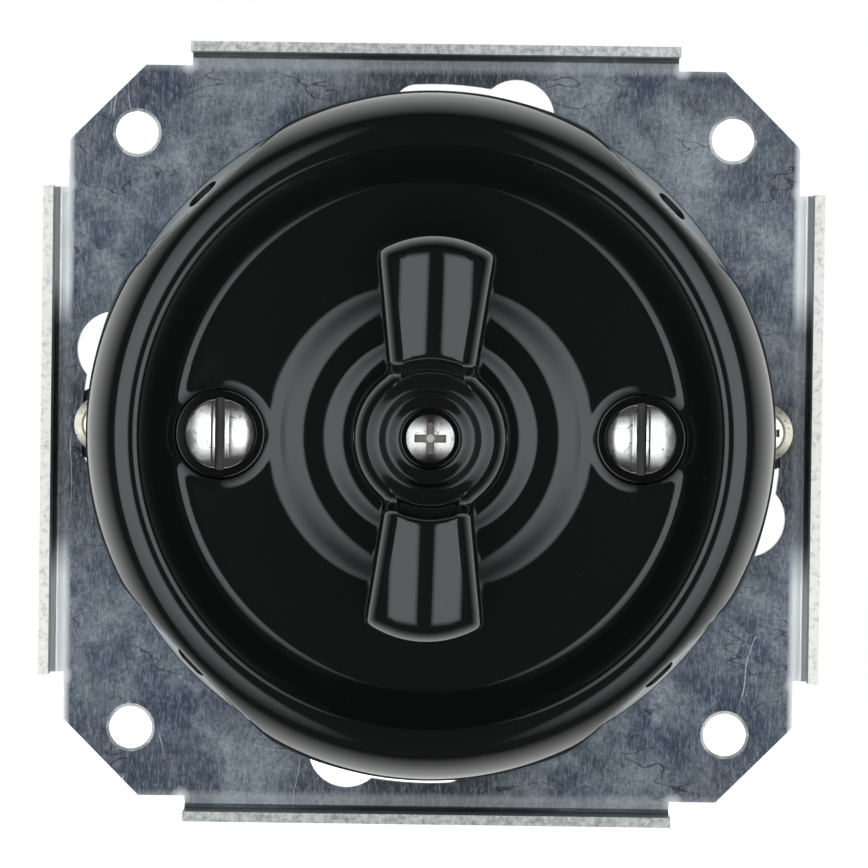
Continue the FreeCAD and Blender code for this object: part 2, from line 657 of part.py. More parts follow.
def hub_section():
    """Half section of the hub: drafted side, rounded rim, two sloping rings and the counterbore."""
    round_x = HUB_NECK - HUB_EDGE_ROUND
    round_z = HUB_TOP_Z - HUB_EDGE_ROUND * math.sin(math.radians(HUB_EDGE_TURN))
    crest = V(HUB_CREST, 0, HUB_TOP_Z)
    foot_z = KNOB_Z - KNOB_COLLAR_LENGTH
    first = HUB_TOP_Z - RING_FALL
    return face_of([
        line(V(0, 0, foot_z), V(KNOB_COLLAR_RADIUS, 0, foot_z)),
        line(V(KNOB_COLLAR_RADIUS, 0, foot_z), V(KNOB_COLLAR_RADIUS, 0, KNOB_Z)),
        line(V(KNOB_COLLAR_RADIUS, 0, KNOB_Z), V(HUB_RADIUS, 0, KNOB_Z)),
        line(V(HUB_RADIUS, 0, KNOB_Z), V(HUB_NECK, 0, round_z)),
        arc(V(HUB_NECK, 0, round_z), rim_point(round_x, round_z, HUB_EDGE_ROUND, HUB_EDGE_TURN / 2), crest),
        line(crest, V(RING_1_IN, 0, first)),
        line(V(RING_1_IN, 0, first), V(RING_2_OUT, 0, first - RING_STEP)),
        line(V(RING_2_OUT, 0, first - RING_STEP), V(COUNTERBORE_RADIUS, 0, DISH_Z)),
        line(V(COUNTERBORE_RADIUS, 0, DISH_Z), V(COUNTERBORE_RADIUS, 0, COUNTERBORE_Z)),
        line(V(COUNTERBORE_RADIUS, 0, COUNTERBORE_Z), V(0, 0, COUNTERBORE_Z)),
        line(V(0, 0, COUNTERBORE_Z), V(0, 0, foot_z)),
    ])


def square_bar(side, z_low, z_high):
    """Square bar or hole about the z axis."""
    half = side / 2
    return block(-half, half, -half, half, z_low, z_high)


def knob():
    """Two-winged handle with a dished hub, a counterbore and a square socket below."""
    upper = wing()
    wings = upper.fuse(turned(upper, 180))
    well = cylinder(HUB_CREST, HUB_TOP_Z - HUB_EDGE_ROUND, KNOB_TOP_Z + 1)
    knob_body = wings.cut(well).fuse(revolved(hub_section()))
    dish = cylinder(HUB_CREST, COUNTERBORE_Z, HUB_TOP_Z).cut(revolved(hub_section()))
    socket = square_bar(SQUARE_SIDE + 2 * SQUARE_GAP, 0, SOCKET_TOP_Z)
    bore = cylinder(KNOB_SCREW_RADIUS + SCREW_GAP, 0, KNOB_TOP_Z)
    return knob_body.cut([dish, socket, bore]).removeSplitter()


def knob_screw():
    """Cross-slot screw through the knob into the end of the spindle."""
    head = domed_head(KNOB_HEAD_RADIUS, KNOB_HEAD_EDGE, KNOB_HEAD_DOME, COUNTERBORE_Z)
    shank = cylinder(KNOB_SCREW_RADIUS, COUNTERBORE_Z - KNOB_SCREW_LENGTH, COUNTERBORE_Z + KNOB_HEAD_EDGE / 4)
    top = COUNTERBORE_Z + KNOB_HEAD_EDGE + KNOB_HEAD_DOME
    return head.fuse(shank).cut(cross_recess(CROSS_LENGTH, CROSS_WIDTH, CROSS_DEPTH, top))


def spindle():
    """Steel spindle: square for the rotor, round in its bearings, square for the knob."""
    top = SOCKET_TOP_Z - SQUARE_GAP
    square_top = WASHER_BOTTOM_Z
    round_part = cylinder(SPINDLE_RADIUS, square_top, SHOULDER_Z)
    upper = square_bar(SQUARE_SIDE, SHOULDER_Z, top)
    lower = square_bar(SQUARE_SIDE, -CHAMBER_DEPTH + RUNNING_GAP, square_top)
    tail = cylinder(TAIL_RADIUS, -CHAMBER_DEPTH - TAIL_LENGTH, -CHAMBER_DEPTH + RUNNING_GAP)
    bar = round_part.fuse([upper, lower, tail])
    groove = cylinder(CLIP_RADIUS, BUSH_TOP_Z, BUSH_TOP_Z + CLIP_THICKNESS + 2 * RUNNING_GAP)
    groove = groove.cut(cylinder(GROOVE_RADIUS, 0, SHOULDER_Z))
    thread = cylinder(KNOB_SCREW_RADIUS + THREAD_GAP, COUNTERBORE_Z - KNOB_SCREW_LENGTH - 1, KNOB_TOP_Z)
    return bar.cut([groove, thread])


def retaining_clip():
    """Open spring ring in the groove of the spindle, in front of the bush."""
    low = BUSH_TOP_Z + RUNNING_GAP
    inner = GROOVE_RADIUS + RUNNING_GAP
    high = low + CLIP_THICKNESS
    section = polygon_face([V(inner, 0, low), V(CLIP_RADIUS, 0, low), V(CLIP_RADIUS, 0, high), V(inner, 0, high)])
    return turned(revolved(section, 360 - CLIP_OPENING), 90 + CLIP_OPENING / 2)


def thrust_washer():
    """Thin washer between the detent cam and the bearing strap."""
    ring = cylinder(WASHER_RADIUS, WASHER_BOTTOM_Z, WASHER_BOTTOM_Z + WASHER_THICKNESS)
    return ring.cut(cylinder(SPINDLE_RADIUS + RUNNING_GAP, -SHEET, 2 * SHEET))


def detent_cam():
    """Four-sided cam with rounded corners on a round sleeve."""
    cam = square_bar(2 * CAM_FLAT, CAM_BOTTOM_Z, CAM_TOP_Z)
    cam = cam.common(cylinder(CAM_CORNER_RADIUS, CAM_BOTTOM_Z, CAM_TOP_Z))
    sleeve = cylinder(CAM_SLEEVE_RADIUS, BRIDGE_TOP_Z, CAM_TOP_Z)
    return cam.fuse(sleeve).cut(square_bar(SQUARE_SIDE + 2 * SQUARE_GAP, -BASE_DEPTH, SHEET)).removeSplitter()


def contact_bridge():
    """Brass cross-piece that joins two opposite contacts."""
    bar = block(-BRIDGE_REACH, BRIDGE_REACH, -BRIDGE_WIDTH / 2, BRIDGE_WIDTH / 2, CARRIER_TOP_Z, BRIDGE_TOP_Z)
    bar = bar.common(cylinder(BRIDGE_REACH, CARRIER_TOP_Z, BRIDGE_TOP_Z))
    middle = cylinder(BRIDGE_WIDTH, CARRIER_TOP_Z, BRIDGE_TOP_Z)
    bar = turned(bar.fuse(middle), TERMINAL_ANGLE).removeSplitter()
    return bar.cut(square_bar(SQUARE_SIDE + 2 * SQUARE_GAP, -BASE_DEPTH, SHEET))


def contact_carrier():
    """Moulded rotor that carries the bridge and stands on the floor of the chamber."""
    plate = cylinder(CARRIER_RADIUS, CARRIER_TOP_Z - CARRIER_THICKNESS, CARRIER_TOP_Z)
    hub = cylinder(CARRIER_HUB_RADIUS, CARRIER_BOTTOM_Z, CARRIER_TOP_Z - CARRIER_THICKNESS / 2)
    body = plate.fuse(hub).removeSplitter()
    return body.cut(square_bar(SQUARE_SIDE + 2 * SQUARE_GAP, -BASE_DEPTH, SHEET))


def bearing_strap():
    """Steel strap across the plate with the front bearing of the spindle."""
    half = STRAP_LENGTH / 2
    strap = block(-STRAP_WIDTH / 2, STRAP_WIDTH / 2, -half, half, SHEET, STRAP_TOP_Z)
    strap = strap.common(cylinder(half, SHEET, STRAP_TOP_Z))
    bush = cylinder(SPINDLE_RADIUS + RUNNING_GAP + BUSH_WALL, SHEET, BUSH_TOP_Z)
    tools = [cylinder(SPINDLE_RADIUS + RUNNING_GAP, 0, 2 * BUSH_TOP_Z)]
    for side in [-1, 1]:
        tools.append(cylinder(BASE_SCREW_RADIUS + SCREW_GAP, 0, BUSH_TOP_Z, 0, side * SCREW_OFFSET))
    return strap.fuse(bush).cut(tools).removeSplitter()


def base_screws():
    """Two screws that clamp strap, plate and base together."""
    screws = []
    for side in [-1, 1]:
        head = domed_head(BASE_HEAD_RADIUS, BASE_HEAD_HEIGHT / 2, BASE_HEAD_HEIGHT / 2, STRAP_TOP_Z)
        shank = cylinder(BASE_SCREW_RADIUS, STRAP_TOP_Z - BASE_SCREW_LENGTH, STRAP_TOP_Z + BASE_HEAD_HEIGHT / 3)
        top = STRAP_TOP_Z + BASE_HEAD_HEIGHT
        reach = BASE_HEAD_RADIUS
        slot = block(-reach, reach, -CLAMP_SLOT / 2, CLAMP_SLOT / 2, top - CLAMP_SLOT, top + CLAMP_SLOT)
        screw = head.fuse(shank).cut(slot)
        screw.translate(V(0, side * SCREW_OFFSET, 0))
        screws.append(screw)
    return Part.makeCompound(screws)


def switch_base():
    """Moulded base: round body with a chamber, four terminal pockets and spring seats."""
    body = Part.makeCylinder(BASE_RADIUS, BASE_DEPTH, V(0, 0, -BASE_DEPTH), AXIS_Z)
    back = [edge for edge in body.Edges if abs(edge.CenterOfMass.z + BASE_DEPTH) < 0.01]
    body = body.makeChamfer(BASE_EDGE, back)
    tools = [cylinder(CHAMBER_RADIUS, -CHAMBER_DEPTH, SHEET)]
    tools.append(cylinder(TAIL_RADIUS + RUNNING_GAP, -CHAMBER_DEPTH - TAIL_LENGTH - SCREW_GAP, 0))
    half_width = TERMINAL_WIDTH / 2 + POCKET_GAP
    pocket = block(TERMINAL_INNER - POCKET_GAP, 2 * BASE_RADIUS, -half_width, half_width,
                   -2 * BASE_DEPTH, -TERMINAL_FRONT)
    channel_half = CONTACT_WIDTH / 2 + POCKET_GAP
    channel = block(CONTACT_KNEE, TERMINAL_INNER + TERMINAL_LENGTH + POCKET_GAP,
                    -channel_half, channel_half, -TERMINAL_FRONT, SHEET)
    angles = [TERMINAL_ANGLE + quarter for quarter in QUARTERS]
    tools += round_the_clock(pocket, angles) + round_the_clock(channel, angles)
    spring_low = CAM_FLAT + SPRING_CAM_GAP - SPRING_SEAT_GAP
    spring_high = CAM_FLAT + SPRING_CAM_GAP + SPRING_THICKNESS + SPRING_SEAT_GAP
    end = SPRING_HALF_LENGTH + SPRING_SEAT_GAP
    seat_bottom = SPRING_TOP_Z - SPRING_WIDTH - SPRING_SEAT_GAP
    seat = block(spring_low, spring_high, -end, end, seat_bottom, SHEET)
    tools += round_the_clock(seat, [0, 180])
    for side in [-1, 1]:
        x = side * SCREW_OFFSET
        collar = COVER_SCREW_RADIUS + THREAD_GAP + COLLAR_WALL + SCREW_GAP
        tools.append(cylinder(collar, -COLLAR_DEPTH - SCREW_GAP, SHEET, x))
        screw_end = RECESS_Z - COVER_SCREW_LENGTH - SCREW_GAP
        tools.append(cylinder(COVER_SCREW_RADIUS + SCREW_GAP, screw_end, SHEET, x))
        thread_end = STRAP_TOP_Z - BASE_SCREW_LENGTH - SCREW_GAP
        tools.append(cylinder(BASE_SCREW_RADIUS + THREAD_GAP, thread_end, SHEET, 0, x))
    return body.cut(tools)


def detent_spring(side):
    """Flat leaf spring that lies along one flat of the cam."""
    low = CAM_FLAT + SPRING_CAM_GAP
    leaf = block(low, low + SPRING_THICKNESS, -SPRING_HALF_LENGTH, SPRING_HALF_LENGTH,
                 SPRING_TOP_Z - SPRING_WIDTH, SPRING_TOP_Z)
    return turned(leaf, 0 if side > 0 else 180)


def terminal(angle):
    """Brass terminal block with a wire bore from behind and a threaded hole for its clamp."""
    outer = TERMINAL_INNER + TERMINAL_LENGTH
    half = TERMINAL_WIDTH / 2
    back = -TERMINAL_FRONT - TERMINAL_HEIGHT
    brass = block(TERMINAL_INNER, outer, -half, half, back, -TERMINAL_FRONT)
    wire_x = TERMINAL_INNER + WIRE_RISE
    wire = cylinder(WIRE_RADIUS, back - 1, back + WIRE_DEPTH, wire_x)
    clamp_z = -TERMINAL_FRONT - CLAMP_DEPTH
    clamp = Part.makeCylinder(CLAMP_RADIUS + THREAD_GAP, 2 * TERMINAL_LENGTH, V(wire_x, 0, clamp_z), AXIS_X)
    rivet_x = TERMINAL_INNER + RIVET_INSET
    rivet = cylinder(RIVET_RADIUS + THREAD_GAP, -TERMINAL_FRONT - RIVET_LENGTH, 0, rivet_x)
    return turned(brass.cut([wire, clamp, rivet]), angle)


def terminal_screws():
    """Four slotted clamping screws, backed off so that the wire bores are open."""
    tip = TERMINAL_INNER + WIRE_RISE + WIRE_RADIUS + RUNNING_GAP
    head_at = TERMINAL_INNER + TERMINAL_LENGTH + CLAMP_STAND_OFF
    z = -TERMINAL_FRONT - CLAMP_DEPTH
    end = head_at + CLAMP_HEAD_HEIGHT
    shank = Part.makeCylinder(CLAMP_RADIUS, head_at - tip, V(tip, 0, z), AXIS_X)
    head = Part.makeCylinder(CLAMP_HEAD_RADIUS, CLAMP_HEAD_HEIGHT, V(head_at, 0, z), AXIS_X)
    reach = 2 * CLAMP_HEAD_RADIUS
    slot = block(end - CLAMP_SLOT, end + 1, -reach, reach, z - CLAMP_SLOT / 2, z + CLAMP_SLOT / 2)
    screw = shank.fuse(head).cut(slot)
    return Part.makeCompound(round_the_clock(screw, [TERMINAL_ANGLE + quarter for quarter in QUARTERS]))


def contact_spring(angle):
    """Bronze strip from a terminal to the bridge, with a bent contact point."""
    front = -TERMINAL_FRONT + CONTACT_THICKNESS
    outer = TERMINAL_INNER + TERMINAL_LENGTH
    point_z = BRIDGE_TOP_Z + CONTACT_GAP
    lift = (-TERMINAL_FRONT - point_z) / 2
    section = polygon_face([
        V(outer, 0, -TERMINAL_FRONT),
        V(outer, 0, front),
        V(CONTACT_KNEE, 0, front),
        V(CONTACT_POINT, 0, point_z + CONTACT_THICKNESS),
        V(CONTACT_TIP, 0, point_z + lift + CONTACT_THICKNESS),
        V(CONTACT_TIP, 0, point_z + lift),
        V(CONTACT_POINT, 0, point_z),
        V(CONTACT_KNEE, 0, -TERMINAL_FRONT),
    ])
    strip = section.extrude(V(0, CONTACT_WIDTH, 0))
    strip.translate(V(0, -CONTACT_WIDTH / 2, 0))
    rivet_x = TERMINAL_INNER + RIVET_INSET
    strip = strip.cut(cylinder(RIVET_RADIUS + THREAD_GAP, -BASE_DEPTH, SHEET, rivet_x))
    return turned(strip, angle)


def contact_rivets():
    """Four rivets that hold the contact springs to their terminals."""
    x = TERMINAL_INNER + RIVET_INSET
    front = -TERMINAL_FRONT + CONTACT_THICKNESS
    head = cylinder(RIVET_HEAD_RADIUS, front, front + RIVET_HEAD_HEIGHT, x)
    shank = cylinder(RIVET_RADIUS, -TERMINAL_FRONT - RIVET_LENGTH, front, x)
    rivet = head.fuse(shank).removeSplitter()
    return Part.makeCompound(round_the_clock(rivet, [TERMINAL_ANGLE + quarter for quarter in QUARTERS]))


def all_pieces():
    """Every node of the switch by name, in the drawing frame."""
    pieces = {
        "mounting_plate": mounting_plate(),
        "cover_disc": cover_disc(),
        "switch_base": switch_base(),
        "bearing_strap": bearing_strap(),
        "base_screws": base_screws(),
        "terminal_screws": terminal_screws(),
        "contact_rivets": contact_rivets(),
        "knob": knob(),
        "knob_screw": knob_screw(),
        "spindle": spindle(),
        "retaining_clip": retaining_clip(),
        "thrust_washer": thrust_washer(),
        "detent_cam": detent_cam(),
        "contact_bridge": contact_bridge(),
        "contact_carrier": contact_carrier(),
    }
    for name, side in [("left", -1), ("right", 1)]:
        pieces["cover_screw_" + name] = cover_screw(side)
        pieces["fixing_screw_" + name] = fixing_screw(side)
        pieces["screw_keeper_" + name] = screw_keeper(side)
        pieces["detent_spring_" + name] = detent_spring(side)
    for number, quarter in enumerate(QUARTERS, 1):
        pieces["terminal_%d" % number] = terminal(TERMINAL_ANGLE + quarter)
        pieces["contact_spring_%d" % number] = contact_spring(TERMINAL_ANGLE + quarter)
    return pieces


os.makedirs("parts", exist_ok=True)
for name, piece in all_pieces().items():
    stand_up(piece).exportStep("parts/%s.step" % name)
    print(name, "solids", len(piece.Solids), "valid", piece.isValid(), "volume", round(piece.Volume, 1))
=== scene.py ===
"""Looks of a flush-mounted porcelain rotary switch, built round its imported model.

The surfaces are worked out in millimetres looking at the wall: x to the right, y up,
z out of the wall, with z = 0 on the back of the plate. to_row() turns them into the row frame.
"""
import math

import bmesh
import bpy
import numpy as np
from mathutils import Matrix, Vector


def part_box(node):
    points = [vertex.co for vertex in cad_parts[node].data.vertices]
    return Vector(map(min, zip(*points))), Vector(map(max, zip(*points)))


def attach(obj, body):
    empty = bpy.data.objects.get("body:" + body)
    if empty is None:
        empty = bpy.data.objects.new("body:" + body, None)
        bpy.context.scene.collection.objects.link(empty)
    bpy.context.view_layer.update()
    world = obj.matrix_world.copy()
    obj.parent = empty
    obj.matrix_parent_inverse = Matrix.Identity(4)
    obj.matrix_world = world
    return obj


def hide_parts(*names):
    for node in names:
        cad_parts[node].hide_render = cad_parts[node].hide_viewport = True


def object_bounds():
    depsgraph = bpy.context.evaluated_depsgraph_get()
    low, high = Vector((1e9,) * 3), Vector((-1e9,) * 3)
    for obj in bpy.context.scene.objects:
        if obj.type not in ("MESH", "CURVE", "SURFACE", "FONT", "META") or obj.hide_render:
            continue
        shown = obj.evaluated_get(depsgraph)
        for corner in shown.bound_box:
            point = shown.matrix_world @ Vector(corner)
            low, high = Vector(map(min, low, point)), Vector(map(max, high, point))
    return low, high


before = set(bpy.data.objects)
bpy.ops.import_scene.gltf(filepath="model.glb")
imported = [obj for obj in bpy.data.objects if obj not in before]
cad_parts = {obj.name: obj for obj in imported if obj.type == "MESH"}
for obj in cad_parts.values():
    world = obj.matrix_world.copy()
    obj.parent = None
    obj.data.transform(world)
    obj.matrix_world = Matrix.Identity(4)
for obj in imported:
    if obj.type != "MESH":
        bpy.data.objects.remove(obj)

CAD_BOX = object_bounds()
MM = 0.001

# Heights of the cover and the knob, out of the wall
SEAT_Z = 5.0
FIELD_Z = 11.8
RECESS_Z = 10.2
KNOB_Z = 13.5
KNOB_TOP_Z = 23.3
HUB_TOP_Z = 20.9
COUNTERBORE_Z = 18.1
COLLAR_Z = 11.1

# Cover
COVER_RADIUS = 31.0
COVER_FLAT = 29.3
FLAT_ANGLE = 44.25
FLAT_BLEND = 0.09              # softness of a flat's edges
ROLL_RADIUS = 4.9
ROLL_Z = 9.4
CREASE_TURN = 60.0
SHOULDER_RADIUS = 6.3
SHOULDER_RUN = 1.7
SHOULDER_TURN = 15.5
BEAD_RADIUS = 3.5
BEAD_RUN = 0.9
BEAD_TURN = 14.9
SLOPE_RUN = 0.9                # steep slope down from the bead
SLOPE_FOOT = 1.31              # field up to the end of the steep slope
FIELD_RADIUS = 21.85
FOOT_RADIUS = 4.25             # hollow round between field and slope
FOOT_TURN = 14.5
STEP_1 = (14.6, 13.2, 11.45)   # outer edge, steepest place and inner edge of a raised step
STEP_2 = (9.5, 8.8, 7.95)
STEP_SLOPE = 0.255             # at the steepest place
STEP_TOP_SLOPE = 0.055         # at the inner edge
RIM_ROUND = 0.5                # at the foot of the outer wall
CAVITY_RADIUS = 24.8
CAVITY_Z = 9.0
CAVITY_INNER = 11.1            # where the underside rises towards the bore
BORE_RADIUS = 4.1
BORE_ROOM = 7.8
BORE_END_Z = 11.05
COVER_SOFT = 0.11              # width of the glaze's softening
OUTLINE_POINTS = 172
TURN_STEPS = 432

# Screw recesses of the cover and the bosses under them
SCREW_OFFSET = 18.85
RECESS_RADIUS = 4.1
RECESS_EDGE = 0.12
RECESS_FOOT = 0.25
CROWN_RUN = 0.95               # soft fall of the glaze round a recess
CROWN_RADIUS = 3.3
HOLE_HALF_STEPS = 21
HOLE_MARGIN_IN = 0.45          # from a crown to the gap that it fills, towards the knob
HOLE_MARGIN_OUT = 0.4          # and towards the rim
BOSS_RADIUS = 4.2
BOSS_TOP_Z = 9.3
BOSS_END_Z = 0.95
BOSS_HOLE = 1.8
BOSS_HOLE_END_Z = 3.0

# Knob
WING_TIP = 18.1
WING_SHOULDER = 16.4
WING_HALF_WIDTH = 5.55
WAIST_Y = 5.2
WAIST_HALF_WIDTH = 4.15
WING_DRAFT = 0.25
WING_CROWN_RADIUS = 12.5
WING_CORNER = 2.6
CORNER_BLEND = 0.3             # softness of the crisp outer corners
WING_EDGE = 2.0
WING_START = 5.4               # where the hub's edge begins to turn into the wing's
WING_BLEND = 1.4
WING_RAMP = 1.75               # run of the slope from a wing's crown down to the hub
HUB_RADIUS = 7.15
HUB_EDGE = 1.813
HUB_EDGE_TURN = 75.0
HUB_CREST = 5.556
DISH_STEPS = ((4.506, 0.085), (4.3, 0.15), (3.96, 0.69), (2.7, 0.78))  # radius, fall from the crest
COUNTERBORE_RADIUS = 2.7
KNOB_FOOT_EDGE = 0.1
KNOB_LEAN = 1.3                # degrees that the knob stands off the vertical in its detent
COLLAR_RADIUS = 3.8
PLAN_SOFT = 0.22               # softening of the knob's plan outline
DISH_SOFT = 0.07               # and of its dish

# Cover screws
HEAD_RADIUS = 3.25
HEAD_EDGE = 1.2
HEAD_DOME = 0.58
HEAD_RIM = 0.25                # width of the rounded rim
HEAD_RIM_FALL = 0.2
HEAD_LEAN = 0.15               # rise of the dome towards the knob, over its radius
SLOT_HALF = 0.36
SLOT_DEPTH = 1.0
SLOT_BEVEL = 0.06
BURR_HEIGHT = 0.05
BURR_PLACE = 0.2               # from the slot's edge to the top of the burr
BURR_WIDTH = 0.14
SHANK_RADIUS = 1.5
SHANK_LENGTH = 14.8
SHANK_POINT = 0.3

# Screws with a cross
FIXING_TOP = 2.8
FIXING_GROOVE = 1.8            # inner radius of the groove round the head
KNOB_HEAD_TOP = 19.25
CROSS_REACH = 1.45

# Plate: line of a seat's outer wall, r = foot - slope x height, its windows and its bends
SHEET = 0.9
WALL_FOOT = 31.35
WALL_SLOPE = 0.35
WALL_THICKNESS = 1.16
WINDOW_HALF_WIDTH = 1.72
WINDOW_LOW = 1.7
WINDOW_HIGH = 4.2
SEAT_END = 32.5                # no seat reaches so far along x or y
CHAMFER_START = 50.5           # |x| + |y| of the places on a corner's chamfer
BEVEL_END = 34.2
BEND_START = 32.9
BEND_END = 33.5
BEND_Z = 2.1                   # where the flange's inner face begins
FLANGE_HALF_LENGTH = 22.6
CUT_Z = 4.55                   # where the flange's cut edge begins

# Studio and camera, in metres and degrees
FLOOR_REACH = 0.9
FLOOR_END = 0.1
FLOOR_GLOW = 0.85
SOFTBOX_POWER = 1.15
SOFTBOX_SIZE = (0.25, 0.6)
SOFTBOX_TURN = 17.5
SOFTBOX_DISTANCE = 0.6
SOFTBOX_FADES = (("X", 0.14, 0.45), ("Y", 0.46, 0.12))  # side, width of the fade, edge's share
BOWL_GLOW = 2.4
BOWL_RADIUS = 0.66
BOWL_OPENING = 50
BOWL_FADE = (52, 110)          # from the camera, where the glow begins and where it is full
BOWL_RINGS = 24
BOWL_TURNS = 48
FILL = 0.07
CAMERA_LENS = 180.4
CAMERA_DISTANCE = 0.4
CAMERA_UP = 1.2
CAMERA_ROUND = 0.2
CAMERA_ROLL = 0.75
CAMERA_TARGET = (0.25, 0.0, 0.0)  # in mm


# Surfaces

def to_row(points):
    """Drawing frame in mm to the row frame in metres: (x, y, z) becomes (x, -z, y) / 1000."""
    points = np.asarray(points, float)
    return np.stack([points[..., 0], -points[..., 2], points[..., 1]], axis=-1) * MM


def grid_quads(rows, columns, wrap=False, start=0):
    """Quads of a grid of rows x columns points, closed across its columns if it wraps."""
    across = np.arange(columns if wrap else columns - 1)
    down = np.arange(rows - 1)[:, None]
    after = (across + 1) % columns
    quads = [down * columns + across, down * columns + after,
             (down + 1) * columns + after, (down + 1) * columns + across]
    return start + np.stack([q.reshape(-1) for q in quads], axis=1)


class Shell:
    """Points and quads of several grids, gathered for one mesh."""

    def __init__(self):
        self.points = []
        self.quads = []
        self.count = 0

    def add(self, points, wrap=False, flip=False, keep=None):
        """A grid of points (rows, columns, 3); keep masks its quads, flip turns them round."""
        rows, columns = points.shape[:2]
        quads = grid_quads(rows, columns, wrap, self.count)
        if keep is not None:
            quads = quads[keep.reshape(-1)]
        if flip:
            quads = quads[:, ::-1]
        self.points.append(points.reshape(-1, 3))
        self.quads.append(quads)
        self.count += rows * columns

    def turn(self, degrees):
        """Turns all points about the axis of the knob."""
        c, s = math.cos(math.radians(degrees)), math.sin(math.radians(degrees))
        spin = np.array([[c, s, 0], [-s, c, 0], [0, 0, 1]])
        self.points = [points @ spin for points in self.points]

    def mesh(self, name, crease):
        """Welded mesh in the row frame, smooth but for edges sharper than crease degrees."""
        data = bpy.data.meshes.new(name)
        data.from_pydata(to_row(np.concatenate(self.points)), [], np.concatenate(self.quads).tolist())
        work = bmesh.new()
        work.from_mesh(data)
        bmesh.ops.remove_doubles(work, verts=work.verts, dist=2e-7)
        bmesh.ops.dissolve_degenerate(work, edges=work.edges, dist=1e-8)
        loose = [v for v in work.verts if not v.link_faces]
        bmesh.ops.delete(work, geom=loose, context="VERTS")
        work.to_mesh(data)
        work.free()
        data.shade_smooth()
        data.set_sharp_from_angle(angle=math.radians(crease))
        return data


def piece(name, shell, body, material, crease, stands_for):
    """Finished object on a body, in place of the CAD node that it stands for."""
    obj = bpy.data.objects.new(name, shell.mesh(name, crease))
    bpy.context.scene.collection.objects.link(obj)
    obj.data.materials.append(material)
    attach(obj, body)
    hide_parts(stands_for)
    return obj


def running_length(points):
    """Way along a line up to each of its points."""
    gaps = np.linalg.norm(np.diff(points, axis=0), axis=1)
    return np.concatenate([[0], np.cumsum(gaps)])


def read_off(points, along, places):
    """A line's points at given places of a running value, in even steps between its own."""
    return np.stack([np.interp(places, along, points[:, k]) for k in range(2)], axis=1)


def resampled_loop(points, count):
    """A closed line's points at equal steps, without a double last one."""
    closed = np.vstack([points, points[:1]])
    along = running_length(closed)
    return read_off(closed, along, np.linspace(0, along[-1], count, endpoint=False))


def softened(points, width, step=0.02):
    """Closed polyline with every corner rounded: a moving average with bell-shaped weights."""
    closed = np.vstack([points, points[:1]])
    along = running_length(closed)
    dense = read_off(closed, along, np.linspace(0, along[-1], int(along[-1] / step)))[:-1]
    reach = int(4 * width / step)
    offsets = np.arange(-reach, reach + 1)
    weights = np.exp(-0.5 * (offsets * step / width) ** 2)
    weights /= weights.sum()
    padded = np.concatenate([dense[-reach:], dense, dense[:reach]])
    return np.stack([np.convolve(padded[:, k], weights, "valid") for k in range(2)], axis=1)


def thinned(points, count, bend):
    """Fewer points on a dense line, closer together where it bends."""
    step = np.diff(points, axis=0)
    length = np.linalg.norm(step, axis=1)
    heading = np.unwrap(np.arctan2(step[:, 1], step[:, 0]))
    turning = np.abs(np.diff(heading, append=heading[-1]))
    weight = np.concatenate([[0], np.cumsum(length + bend * turning)])
    return read_off(points, weight, np.linspace(0, weight[-1], count))


def arc(centre_x, centre_z, radius, start, end, count):
    """Points on a circle in the (r, z) plane between two angles in degrees."""
    turn = np.radians(np.linspace(start, end, count))
    return np.stack([centre_x + radius * np.cos(turn), centre_z + radius * np.sin(turn)], axis=1)


def turned_grid(profile, steps, x=0.0):
    """Surface of revolution: each (r, z) of a profile goes once round the point (x, 0)."""
    turn = np.linspace(0, 2 * np.pi, steps, endpoint=False)
    r = profile[:, :1]
    z = np.repeat(profile[:, 1:], steps, axis=1)
    return np.stack([x + r * np.cos(turn), r * np.sin(turn), z], axis=-1)


def with_height(plan, z):
    """Points (x, y) of a plan with a height, one for all or one each."""
    return np.concatenate([plan, np.broadcast_to(z, (len(plan),))[:, None]], axis=1)


def smooth(value):
    """Smooth ramp from 0 to 1: 3 v^2 - 2 v^3 of the clipped value."""
    value = np.clip(value, 0, 1)
    return value * value * (3 - 2 * value)


# Cover

def mound(outer, steep_r, inner, foot_z):
    """(r, z) points of a low step without a wall, from its inside out: the slope grows evenly
    from 0 at its outer edge to its steepest, falls again to its inner edge, and is summed up."""
    r = np.linspace(outer, inner, 25)
    slope = np.interp(-r, [-outer, -steep_r, -inner], [0, STEP_SLOPE, STEP_TOP_SLOPE])
    rise = np.concatenate([[0], np.cumsum((slope[1:] + slope[:-1]) / 2 * -np.diff(r))])
    return np.stack([r, foot_z + rise], axis=1)[::-1]


